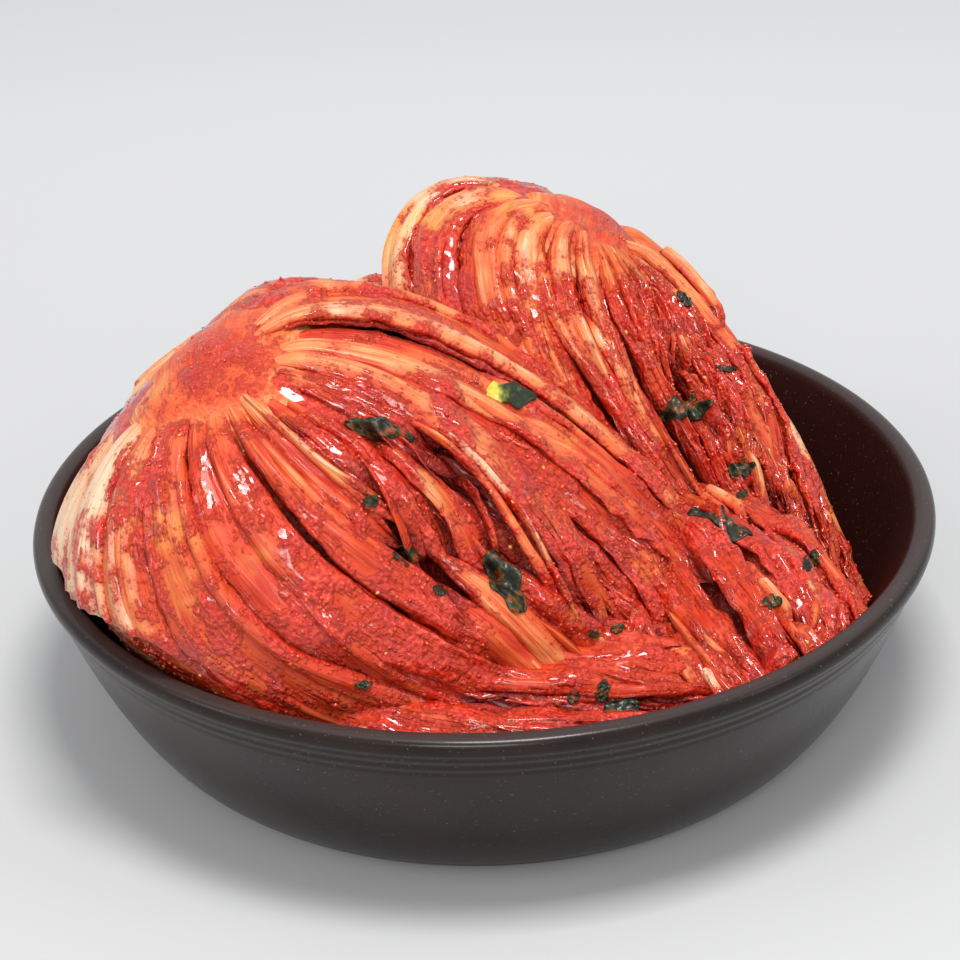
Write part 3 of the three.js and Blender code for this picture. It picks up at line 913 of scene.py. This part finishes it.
# %% Front cabbage
FRONT = [
    Leaf(-154, 0, 0.03, 0.92, 30, 2, 0.5, 0.4, 0.6, 2),
    Leaf(-128, 0, 0.03, 0.92, 27, 4, 0.7, 0.35, 0.5, 1),
    Leaf(-106, 0, 0.03, 0.92, 22, 5, 0.5, 0.45, 0.6, 1),
    Leaf(-84, -2, 0.03, 0.92, 25, 9, 0.7, 0.35, 0.5, 2),
    Leaf(-67, 0, 0.05, 0.75, 17, 3, 0.5, 0.35, 0.6, 1),
    Leaf(-53, 12, 0.04, 0.84, 18, 5, 0.6, 0.3, 0.7, 1),
    Leaf(-36, 44, 0.05, 0.65, 18, 6, 0.65, 0.25, 0.6, 1),
    Leaf(-42, 42, 0.36, 0.86, 14, 4, 0.5, 0.4, 1.3, 1),
    Leaf(-48, 32, 0.46, 0.9, 13, 3, 0.5, 0.45, 1.3, 1),
    Leaf(-30, 30, 0.25, 0.8, 22, -2, 0.4, 0.5, 1.4, 2),
    Leaf(-14, 36, 0.3, 0.8, 20, -3, 0.4, 0.45, 1.4, 2),
    Leaf(-20, 4, 0.05, 0.34, 15, 3, 0.45, 0.6, 0.8, 1),
    Leaf(-14, 26, 0.2, 0.5, 14, -2, 0.7, 0.3, 1.0, 1),
    Leaf(-4, 26, 0.05, 0.44, 14, -1, 0.55, 0.4, 1.0, 1),
    Leaf(10, 6, 0.05, 0.31, 14, 3, 0.4, 0.7, 0.9, 1),
    Leaf(24, 0, 0.05, 0.36, 14, 6, 0.8, 0.2, 0.8, 1),
    Leaf(36, 2, 0.05, 0.66, 13, 4, 0.35, 0.55, 0.8, 1),
    Leaf(50, 2, 0.04, 0.8, 15, 6, 0.42, 0.56, 0.8, 1),
    Leaf(64, -4, 0.04, 0.92, 15, 4, 0.22, 0.66, 0.8, 1),
    Leaf(79, -8, 0.04, 0.92, 17, 6, 0.42, 0.58, 0.8, 1),
    Leaf(95, -12, 0.03, 0.9, 18, 4, 0.65, 0.42, 0.6, 1),
    Leaf(112, -10, 0.03, 0.85, 20, 4, 1.0, 0.2, 0.3, 1),
    Leaf(131, 0, 0.03, 0.8, 22, 0, 1.0, 0.2, 0.3, 1),
    Leaf(155, 0, 0.03, 0.8, 28, -4, 0.8, 0.3, 0.5, 2),
    Leaf(184, 0, 0.03, 0.75, 30, -4, 0.6, 0.4, 0.5, 2),
    Leaf(6, 32, 0.42, 0.92, 14, 5, 0.5, 0.4, 1.4, 1),
    Leaf(18, 32, 0.4, 0.9, 15, 4, 0.6, 0.4, 1.4, 1),
    Leaf(30, 26, 0.42, 0.9, 15, 4, 0.5, 0.4, 1.4, 1),
    Leaf(-40, 14, 0.05, 0.85, 22, 3, 0.45, 0.4, 0.7, 2),
]
BED = [Leaf(angle, 0, 0.06, 0.94, 27, 2, 0.1, 0.55, 1.5, 1) for angle in (-66, -40, -14, 12, 38, 64)]
bed_egg = Egg((-6, -54, 52), (142, 112, 37), (0, 0, -8), 0.05, (180, 20), (0, -10))
front_hollow = Hollow(at=-2, share=0.47, drop=24.0, reach=0.32)
front_scraps = scraps(26, angles=(-62, 75), shares=(0.6, 0.85), rise=3.5, seed=41)
front = lay(front_egg, FRONT + front_scraps, seed=3)
front += [core_strand(front_egg, front_hollow), root_strand(front_egg, radius=42.0)]
front += lay(bed_egg, BED, seed=13) + [core_strand(bed_egg)]
front_pieces = gather("front_leaves", "front_cabbage", front)
print("front cabbage:", len(front), "strips in", len(front_pieces), "objects")

# %% [markdown]
# The second cabbage leans on the first from behind. Its stalks come down in neat orange layers at the
# left, the middle is crumpled leaf thick with paste, and its leaf ends spread out in the basin at the
# right front, where they are laid on a small egg of their own. Behind and below it, where only other
# views reach, four broad leaves carry it on the basin's floor.

# %% Back cabbage
BACK = [
    Leaf(172, 0, 0.03, 0.6, 26, 1, 0.8, 0.3, 0.5, 2),
    Leaf(151, 0, 0.03, 0.7, 20, 1, 0.85, 0.3, 0.5, 1),
    Leaf(134, 0, 0.03, 0.7, 15, 2, 0.8, 0.3, 0.5, 1),
    Leaf(119, 0, 0.04, 0.7, 14, 3, 0.7, 0.3, 0.5, 1),
    Leaf(105, 0, 0.04, 0.75, 13, 4, 0.65, 0.35, 0.6, 1),
    Leaf(92, -2, 0.04, 0.8, 12, 4, 0.7, 0.25, 0.6, 1),
    Leaf(80, 0, 0.04, 0.88, 11, 5, 0.75, 0.2, 0.6, 1),
    Leaf(68, 2, 0.05, 0.8, 11, 5, 0.85, 0.15, 0.6, 1),
    Leaf(53, 0, 0.04, 0.7, 14, 3, 0.6, 0.35, 0.9, 1),
    Leaf(38, 6, 0.04, 0.5, 17, 4, 0.55, 0.4, 1.3, 2),
    Leaf(18, 16, 0.04, 0.42, 18, 5, 0.8, 0.25, 1.4, 1),
    Leaf(0, 6, 0.04, 0.6, 18, 3, 0.5, 0.45, 1.5, 1),
    Leaf(-20, 8, 0.04, 0.6, 18, 4, 0.5, 0.45, 1.5, 1),
    Leaf(-40, 4, 0.04, 0.75, 19, 3, 0.55, 0.4, 1.3, 1),
    Leaf(-59, 4, 0.03, 0.6, 18, 8, 0.6, 0.25, 0.7, 1),
    Leaf(-80, 0, 0.03, 0.9, 22, 4, 0.5, 0.4, 0.9, 2),
    Leaf(-104, 0, 0.03, 0.92, 24, 6, 0.6, 0.35, 0.7, 2),
    Leaf(-130, 0, 0.03, 0.9, 26, 4, 0.6, 0.4, 0.6, 2),
    Leaf(-158, 0, 0.03, 0.85, 28, 3, 0.7, 0.35, 0.6, 2),
    Leaf(-72, 0, 0.06, 0.3, 14, 10, 0.95, 0.1, 0.8, 0),
    Leaf(-16, 56, 0.5, 0.92, 14, 6, 0.55, 0.35, 1.2, 1),
    Leaf(28, 24, 0.44, 0.92, 16, 3, 0.5, 0.45, 1.4, 1),
    Leaf(-60, 46, 0.5, 0.92, 16, 4, 0.5, 0.45, 1.3, 1),
]
ENDS = [
    Leaf(-82, 0, 0.1, 0.92, 26, 3, 0.4, 0.45, 1.6, 2),
    Leaf(-52, 10, 0.1, 0.92, 20, 6, 0.35, 0.45, 1.8, 1),
    Leaf(-24, -6, 0.1, 0.92, 21, 2, 0.25, 0.5, 1.8, 1),
    Leaf(4, 8, 0.1, 0.92, 20, 5, 0.4, 0.45, 1.8, 1),
    Leaf(32, 0, 0.1, 0.92, 21, 2, 0.25, 0.5, 1.8, 1),
    Leaf(60, 6, 0.1, 0.92, 24, 4, 0.4, 0.45, 1.6, 2),
]
UNDER = [Leaf(angle, 0, 0.06, 0.94, 34, 0, 0.55, 0.4, 1.0, 1) for angle in (-60, -92, -124, -156)]
under_egg = Egg((59, 62, 56), (67, 69, 56), (0, 0, 0), 0.0, (156, 52), (338, 34))
under_core = under_egg._replace(size=(70, 72, 58))
back_scraps = scraps(46, angles=(-52, 38), shares=(0.12, 0.8), rise=3.5, seed=42)
ends_scraps = scraps(34, angles=(-90, 70), shares=(0.1, 0.8), rise=4.0, seed=43)
back = lay(back_egg, BACK + back_scraps, seed=5)
back += lay(ends_egg, ENDS + ends_scraps, seed=7)
back += [core_strand(back_egg), core_strand(ends_egg), root_strand(back_egg, radius=34.0)]
back += lay(under_egg, UNDER, seed=15) + [core_strand(under_core)]
back_pieces = gather("back_leaves", "back_cabbage", back)
print("back cabbage:", len(back), "strips in", len(back_pieces), "objects")

# %% [markdown]
# A strip of a third cabbage shows over the front one's shoulder at the left. From behind it is seen
# whole, so it gets the same leaves all the way round.

# %% Rear left cabbage
REAR = [
    Leaf(-150, 0, 0.04, 0.92, 30, 1, 0.85, 0.25, 0.6, 2),
    Leaf(-120, 0, 0.04, 0.92, 30, 2, 0.95, 0.2, 0.6, 2),
    Leaf(-90, 0, 0.04, 0.92, 29, 1, 1.0, 0.15, 0.6, 2),
    Leaf(-61, 0, 0.04, 0.92, 29, 2, 1.05, 0.1, 0.6, 2),
    Leaf(-32, 0, 0.04, 0.92, 29, 1, 0.95, 0.2, 0.7, 2),
    Leaf(-3, 0, 0.04, 0.92, 29, 2, 0.85, 0.25, 0.7, 2),
    Leaf(28, 0, 0.04, 0.9, 30, 1, 0.9, 0.25, 0.7, 2),
]
rear = lay(rear_egg, REAR, seed=9) + [core_strand(rear_egg), root_strand(rear_egg, radius=24.0)]
rear_pieces = gather("rear_leaves", "rear_left_cabbage", rear)
print("rear cabbage:", len(rear), "strips in", len(rear_pieces), "objects")

# %% [markdown]
# The finish of the kimchi is one material for leaf and paste, because the border between them is
# ragged on the real thing. The paste number from the vertices is roughened by fine noise and then
# cut sharply, so the border has far more detail than the mesh. Fibres and broader veins run along each
# leaf, from noise read in the leaf's own flow of millimetres across and along, much finer across.

# %% The bare leaf
FIBRE_STRETCH = (0.9, 0.07, 1.0)
VEIN_STRETCH = (0.32, 0.025, 1.0)
where = kimchi.place()
paste = kimchi.attribute("paste", "Fac")
pale = kimchi.attribute("pale", "Fac")
flow = kimchi.attribute("flow", "Vector")
fibres = kimchi.noise(kimchi.stretched(flow, FIBRE_STRETCH), 1.0, 4.0)
veins = kimchi.noise(kimchi.stretched(flow, VEIN_STRETCH), 1.0, 2.0)
blotches = kimchi.noise(where, 130.0, 3.0)
tone = pale + 0.6 * (fibres - 0.5) + 0.8 * (veins - 0.5) + 0.3 * (blotches - 0.5)
LEAF_TONES = [
    (0.0, light(178, 34, 16)),
    (0.25, light(192, 53, 26)),
    (0.5, light(209, 97, 49)),
    (0.72, light(222, 142, 88)),
    (0.98, light(222, 190, 157)),
]
YELLOW = (*light(238, 160, 74), 1.0)
yellow = kimchi.noise(where, 24.0, 3.0).step(0.56, 0.68)
bare = kimchi.mix(0.5 * yellow, kimchi.ramp(tone, LEAF_TONES), YELLOW)
print("tones of a bare leaf:", len(LEAF_TONES))

# %% [markdown]
# Over the leaf lies first a thin red film, then fine flecks of chilli, then the paste itself, a mass of
# soft grains with darker pools of juice, whose palest specks are partly its own orange and partly
# painted glints. Where a vertex lies deep between the leaves, its number for pale is below zero, and
# there all of it sinks into one dark red, which is painted shade. The wet coat is strongest on the paste
# and nearly gone in the creases.

# %% The paste over it
# The palest stop is partly the paste's own orange and partly painted glints; the granules make grain
# tops lighter.
PASTE_AND_GLINT_TONES = [
    (0.3, light(160, 18, 6)),
    (0.45, light(198, 38, 14)),
    (0.58, light(212, 56, 24)),
    (0.78, light(236, 112, 64)),
]
FILM_COLOUR = (*light(202, 62, 27), 1.0)
FLECK_COLOUR = (*light(196, 42, 20), 1.0)
POOL_COLOUR = (*light(156, 22, 10), 1.0)
PAINTED_SHADE_RED = (*light(88, 9, 6), 1.0)
grain = kimchi.noise(where, 420.0, 4.0)
fine = kimchi.noise(where, 1300.0, 2.0)
flecks = kimchi.noise(where, 620.0, 2.0)
granules = 1.0 - kimchi.node("ShaderNodeTexVoronoi", {}, {"Vector": where, "Scale": 520.0}, "Distance")
red = kimchi.ramp(0.8 * grain + 0.2 * granules - 0.03, PASTE_AND_GLINT_TONES)
# deep is the mask of painted shade between the leaves, where the pale number is below zero.
deep = (0.0 - pale).step(0.0, 0.9)
pools = kimchi.noise(where, 70.0, 2.0).step(0.5, 0.64)
red = kimchi.mix(0.5 * pools, red, POOL_COLOUR)
streaks = 1.3 * (blotches - 0.5) + 1.2 * (fibres - 0.5) + 0.8 * (veins - 0.5)
film = (paste - 0.45 * pale + streaks).step(-1.0, 0.1)
stained = kimchi.mix(0.8 * film, bare, FILM_COLOUR)
flecked = kimchi.mix(0.75 * (flecks + 0.14 * paste).step(0.54, 0.66), stained, FLECK_COLOUR)
ragged = 1.3 * (grain - 0.5) + 0.5 * (granules - 0.5) + 1.0 * (fibres - 0.5)
cover = (paste + ragged).step(-0.2, 0.45)
rough_paste = cover * (0.7 * granules * (0.1 + 0.9 * blotches) + 0.7 * grain + 0.2 * fine)
kimchi.set(
    Base_Color=kimchi.mix(0.75 * deep, kimchi.mix(cover, flecked, red), PAINTED_SHADE_RED),
    Coat_Weight=(0.14 + 0.72 * cover) * (1.0 - 0.8 * deep),
    Roughness=0.4 - 0.1 * cover + 0.16 * (fine - 0.5),
    Normal=kimchi.bump(rough_paste + 0.35 * fibres + 0.7 * veins + 0.08 * fine, 0.0015, 1.0),
)
print("kimchi nodes:", len(kimchi.tree.nodes))

# %% [markdown]
# Green shreds of onion and mustard leaf lie in the paste. Each is a grid, draped by casting a ray
# from every vertex down to the leaves under it, then waved and given a thickness by the solidify
# operator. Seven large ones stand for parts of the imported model, at the same places, given as an angle
# and a share of the arc on a cabbage's egg.

# %% Find the surface under a point
trees = []
depsgraph = bpy.context.evaluated_depsgraph_get()
for made in front_pieces + back_pieces + rear_pieces:
    trees.append(BVHTree.FromObject(made, depsgraph))


def surface_under(start, down):
    hits = [tree.ray_cast(start, down) for tree in trees]
    hits = [hit for hit in hits if hit[0] is not None]
    return min(hits, key=lambda hit: hit[3]) if hits else (None, None, None, None)


print("surfaces to rest on:", len(trees))

# %% Places of the large shreds
Shred = namedtuple("Shred", "egg at share length width turn")
LARGE_SHREDS = {
    "green_onion_end": Shred(front_egg, -66, 0.36, 21, 9, 25),
    "green_strip": Shred(front_egg, -13, 0.245, 26, 5, 15),
    "mustard_leaf": Shred(front_egg, 14, 0.49, 26, 11, -35),
    "dark_leaf": Shred(front_egg, -68, 0.64, 24, 12, 5),
    "tip_leaf": Shred(front_egg, 34, 0.71, 15, 6, 35),
    "pale_leaf": Shred(back_egg, 40, 0.52, 20, 9, 75),
    "small_leaf": Shred(back_egg, 14, 0.63, 11, 6, 80),
}
STEP_AHEAD = 0.02
STEP_OUT = 5


def shred_frame(shred):
    angles = np.array([float(shred.at)] * 2)
    spots = on_arc(shred.egg, angles, np.array([shred.share, shred.share + STEP_AHEAD]))
    base, ahead = on_egg(shred.egg, spots, 0)
    out = unit(on_egg(shred.egg, spots[:1], STEP_OUT)[0] - base)
    along = unit((ahead - base) - out * (ahead - base).dot(out))
    turn = np.radians(shred.turn)
    turned = along * np.cos(turn) + np.cross(out, along) * np.sin(turn)
    return base, turned, np.cross(turned, out), out


print("green onion end at", shred_frame(LARGE_SHREDS["green_onion_end"])[0].round(0))

# %% Drape the large shreds
SHRED_THICK = 0.5
RAY_START = 30
DEEPEST = -14.0
LIFT = 1.1
WAVE = 0.7
RIPPLE = 0.25
WAVY_LENGTH = 16
SMOOTHING = {"factor": 0.5, "use_axis_x": True, "use_axis_y": True, "use_axis_z": True}
GREEN_SHINE = {"Coat_Weight": 0.25, "Specular_IOR_Level": 0.3}
green = Finish("green leaf", Coat_Roughness=0.15, Roughness=0.45, **GREEN_SHINE)
onion = Finish("onion end", Coat_Roughness=0.1, Roughness=0.4, **GREEN_SHINE)


def drape(spot, along, across, out, shred, seed):
    shape = bmesh.new()
    bmesh.ops.create_grid(shape, x_segments=22, y_segments=12, size=1.0)
    for vertex in shape.verts:
        u, v = vertex.co.x, vertex.co.y
        outline = np.sqrt(max(1 - u * u, 0.02)) * (1 + 0.25 * np.sin(7 * u + seed))
        flat = spot + along * (u * shred.length / 2) + across * (v * outline * shred.width / 2)
        found = surface_under(Vector(flat + out * RAY_START) * MM, Vector(-out))[0]
        down = np.array(found) / MM if found else flat
        wave = min(1.0, shred.length / WAVY_LENGTH) * np.sin(7 * v + 4 * u + seed) * np.sin(9 * u + seed)
        wave = LIFT + WAVE * wave + RIPPLE * np.sin(15 * u - 5 * v)
        drop = max((down - flat).dot(out), DEEPEST)
        vertex.co = Vector(flat + out * (drop + wave)) * MM
    bmesh.ops.smooth_vert(shape, verts=shape.verts[:], **SMOOTHING)
    bmesh.ops.recalc_face_normals(shape, faces=shape.faces[:])
    bmesh.ops.solidify(shape, geom=shape.faces[:], thickness=SHRED_THICK * MM)
    mesh = bpy.data.meshes.new("shred")
    shape.to_mesh(mesh)
    shape.free()
    return outward(mesh)


for number, (name, shred) in enumerate(LARGE_SHREDS.items()):
    finish = onion if name == "green_onion_end" else green
    mesh = drape(*shred_frame(shred), shred, number)
    made = finished_object(name + "_shred", mesh, finish)
    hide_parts(name)
print("large shreds:", len(LARGE_SHREDS))

# %% [markdown]
# The shreds are nearly black green, with olive spots and red ones, where paste smears them. The onion
# end runs from a yellow stem to dark green, so its colour follows its place from left to right.

# %% The greens of the shreds
SHADE_SCALE = 260.0
SHADE_DEPTH = 0.8 * MM
GREEN_TONES = [
    (0.35, light(8, 10, 6)),
    (0.48, light(26, 30, 14)),
    (0.58, light(66, 62, 26)),
    (0.66, light(150, 52, 22)),
]
ONION_TONES = [
    (0.2, light(206, 186, 70)),
    (0.45, light(120, 128, 44)),
    (0.7, light(30, 38, 18)),
]
shades = green.noise(green.place(), SHADE_SCALE)
green.set(Base_Color=green.ramp(shades, GREEN_TONES), Normal=green.bump(shades, SHADE_DEPTH, 0.8))
onion_middle = shred_frame(LARGE_SHREDS["green_onion_end"])[0][0] * MM
where = onion.place()
shades = onion.noise(where, SHADE_SCALE)
side = onion.node("ShaderNodeSeparateXYZ", {}, {0: where}, "X")
stem = (side + 0.012 * (shades - 0.5)).step(onion_middle - 0.009, onion_middle + 0.006)
onion.set(Base_Color=onion.ramp(stem, ONION_TONES), Normal=onion.bump(shades, SHADE_DEPTH, 0.8))
print("green nodes:", len(green.tree.nodes), "onion nodes:", len(onion.tree.nodes))

# %% [markdown]
# The smallest shreds are placed where the photograph shows them. A ray from the camera through a point
# of the picture finds the leaf there, and the shred is draped along that ray, so each rests on what
# carries it. The points are counted in pixels from the picture's upper left corner.

# %% Small shreds seen in the picture
PICTURE_SIZE = 960
FIRST_SMALL_SEED = 20
Small = namedtuple("Small", "across down length width turn")
SMALL_SHREDS = [
    Small(742, 494, 4.5, 3.5, 20),
    Small(772, 601, 7, 5, 0),
    Small(725, 368, 8, 2.5, -10),
    Small(684, 299, 8, 4, -45),
    Small(692, 403, 8, 2.5, 80),
    Small(407, 555, 10, 6, -20),
    Small(371, 501, 6, 5, 30),
    Small(440, 590, 5, 3.5, -30),
    Small(617, 628, 5, 3.5, 10),
    Small(594, 635, 3.5, 3, 0),
    Small(603, 691, 9, 4.5, 80),
    Small(573, 697, 4.5, 3.5, 40),
    Small(364, 685, 6, 3.5, 0),
    Small(811, 560, 8, 5, 60),
]


def seen_at(across, down):
    half = PICTURE_SIZE / 2
    reach = camera_data.sensor_width / 2
    ray = Vector(((across - half) / half * reach, (half - down) / half * reach, -camera_data.lens))
    toward = (camera.matrix_world.to_3x3() @ ray).normalized()
    return surface_under(CAMERA_PLACE, toward)[0], toward


small = bmesh.new()
for number, shred in enumerate(SMALL_SHREDS):
    found, toward = seen_at(shred.across, shred.down)
    if found is not None:
        out = -np.array(toward)
        level = unit(np.cross((0.0, 0.0, 1.0), out))
        turn = np.radians(shred.turn)
        along = level * np.cos(turn) + np.cross(out, level) * np.sin(turn)
        across = np.cross(along, out)
        seed = number + FIRST_SMALL_SEED
        small.from_mesh(drape(np.array(found) / MM, along, across, out, shred, seed))
small_mesh = bpy.data.meshes.new("small_shreds")
small.to_mesh(small_mesh)
small.free()
finished_object("small_shreds", small_mesh, green)
print("small shreds:", len(SMALL_SHREDS))

# %% [markdown]
# Chilli flakes, pale seeds and small lumps of paste are scattered over what can be seen. Their places
# are vertices of the leaves, kept only where a ray straight out meets nothing, and each bit is an
# icosphere of a few faces, squashed, turned and set into the surface.

# %% Where bits can lie
CLEARANCE = 1.5


def open_places(share, least_paste, seed):
    chance = np.random.default_rng(seed)
    found = []
    for made in front_pieces + back_pieces + rear_pieces:
        count = len(made.data.vertices)
        depths = np.empty(count)
        made.data.attributes["paste"].data.foreach_get("value", depths)
        for index in chance.choice(count, int(share * count), replace=False):
            vertex = made.data.vertices[int(index)]
            clear = vertex.co + vertex.normal * CLEARANCE * MM
            if depths[index] > least_paste and surface_under(clear, vertex.normal)[0] is None:
                found.append((vertex.co.copy(), vertex.normal.copy()))
    return [found[i] for i in chance.permutation(len(found))]


print("open places found in a trial:", len(open_places(0.001, 0.0, 1)))

# %% Scatter the bits
LEAN = 0.25
UNEVEN = (0.75, 1.2)


def scatter(name, places, sizes, finish, seed):
    chance = np.random.default_rng(seed)
    shape = bmesh.new()
    bmesh.ops.create_icosphere(shape, subdivisions=1, radius=1.0)
    form = bpy.data.meshes.new("bit")
    shape.to_mesh(form)
    corners = np.array([vertex.co for vertex in shape.verts])
    for _ in range(len(places) - 1):
        shape.from_mesh(form)
    mesh = bpy.data.meshes.new(name)
    shape.to_mesh(mesh)
    shape.free()
    spots = np.array([place for place, _ in places])
    up = unit(np.array([normal for _, normal in places]) + chance.normal(0, LEAN, spots.shape))
    side = unit(np.cross(up, chance.normal(0, 1, spots.shape)))
    stand = np.stack([side, np.cross(up, side), up], axis=1)
    radii = np.stack([chance.uniform(*size, len(places)) for size in sizes], axis=1) * MM / 2
    uneven = corners[None] * chance.uniform(*UNEVEN, (len(places), len(corners), 1)) * radii[:, None]
    points = spots[:, None] + np.einsum("nvk,nkc->nvc", uneven, stand)
    mesh.vertices.foreach_set("co", points.ravel())
    finished_object(name, outward(mesh), finish)
    print(name, "bits:", len(places))


FLAKE_TONES = [(0.35, light(164, 18, 6)), (0.65, light(226, 76, 34))]
SEED_TONES = [(0.3, light(224, 120, 60)), (0.7, light(240, 176, 104))]
flake = Finish("chilli flake", Coat_Weight=0.6, Coat_Roughness=0.06, Roughness=0.3)
flake.set(Base_Color=flake.ramp(flake.noise(flake.place(), 300.0, 2.0), FLAKE_TONES))
seed_skin = Finish("chilli seed", Coat_Weight=0.4, Coat_Roughness=0.1, Roughness=0.4)
seed_skin.set(Base_Color=seed_skin.ramp(seed_skin.noise(seed_skin.place(), 200.0, 2.0), SEED_TONES))
print("tones of a flake:", len(FLAKE_TONES), "and of a seed:", len(SEED_TONES))

# %% Grains, flakes and seeds
GRAIN_SIZES = ((1.0, 2.6), (0.8, 1.9), (0.7, 1.5))
FLAKE_SIZES = ((0.9, 2.2), (0.6, 1.4), (0.3, 0.7))
SEED_SIZES = ((1.6, 2.2), (1.2, 1.7), (0.5, 0.7))
places = open_places(share=0.08, least_paste=0.05, seed=51)
grains_end = int(0.75 * len(places))
flakes_end = int(0.98 * len(places))
scatter("paste_grains", places[:grains_end], GRAIN_SIZES, flake, seed=54)
scatter("chilli_flakes", places[grains_end:flakes_end], FLAKE_SIZES, flake, seed=52)
scatter("chilli_seeds", places[flakes_end:], SEED_SIZES, seed_skin, seed=53)

# %% [markdown]
# The floor of the studio is a large pale sheet, painted a little darker in front and lighter far behind
# the basin, as painted light falling off towards the front. A plain view transform keeps white white.

# %% Floor
FLOOR_HALF = 6.0
NEAR_SHADED_TONES = [(0.3, light(187, 187, 187)), (0.7, light(191, 191, 191))]
FAR_LIT_TONE = (*light(209, 209, 210), 1.0)
FAR_SPAN = (0.05, 0.75)
bpy.context.scene.view_settings.view_transform = "Standard"
floor_shape = bmesh.new()
bmesh.ops.create_grid(floor_shape, x_segments=1, y_segments=1, size=FLOOR_HALF)
floor_mesh = bpy.data.meshes.new("floor")
floor_shape.to_mesh(floor_mesh)
floor_shape.free()
floor = bpy.data.objects.new("floor", floor_mesh)
bpy.context.collection.objects.link(floor)
paper = Finish("pale floor", Roughness=0.9, Specular_IOR_Level=0.1)
paper_place = paper.place()
near_shaded_paper = paper.ramp(paper.noise(paper_place, 3.0, 2.0), NEAR_SHADED_TONES)
painted_far_light = paper.node("ShaderNodeSeparateXYZ", {}, {0: paper_place}, "Y").step(*FAR_SPAN)
# Painted light: the floor's colour is lighter far behind the basin and darker near it.
paper.set(Base_Color=paper.mix(painted_far_light, near_shaded_paper, FAR_LIT_TONE))
floor_mesh.materials.append(paper.material)
print("floor is", 2 * FLOOR_HALF, "m wide")

# %% [markdown]
# A bright world gives most of the soft light. A lamp above the front makes the wet paste glint, a broad
# one behind the camera lifts the basin's front, and two weak ones at the sides round off the shapes.
# Each lamp is turned towards the middle of the heap as the camera was.

# %% Light
LAMP_AIM = Vector((0, 0, 0.08))
world = bpy.data.worlds.new("studio")
world.use_nodes = True
world.node_tree.nodes["Background"].inputs["Color"].default_value = (*light(236, 237, 240), 1.0)
world.node_tree.nodes["Background"].inputs["Strength"].default_value = 0.8
bpy.context.scene.world = world


def lamp(name, place, size, power):
    data = bpy.data.lights.new(name, "AREA")
    data.shape = "RECTANGLE"
    data.size, data.size_y = size
    data.energy = power
    made = bpy.data.objects.new(name, data)
    bpy.context.collection.objects.link(made)
    spot = Vector(place)
    turn = (LAMP_AIM - spot).to_track_quat("-Z", "Y").to_matrix().to_4x4()
    made.matrix_world = Matrix.Translation(spot) @ turn


lamp("top_lamp", (0.1, -0.42, 1.6), (0.5, 0.4), 21.5)
lamp("right_lamp", (1.5, -0.5, 1.1), (0.4, 0.5), 1.5)
lamp("left_lamp", (-1.5, -0.6, 1.0), (0.5, 0.5), 3)
lamp("front_lamp", (-0.2, -2.0, 1.3), (0.8, 0.5), 15)
print("lamps:", sum(one.type == "LIGHT" for one in bpy.data.objects))
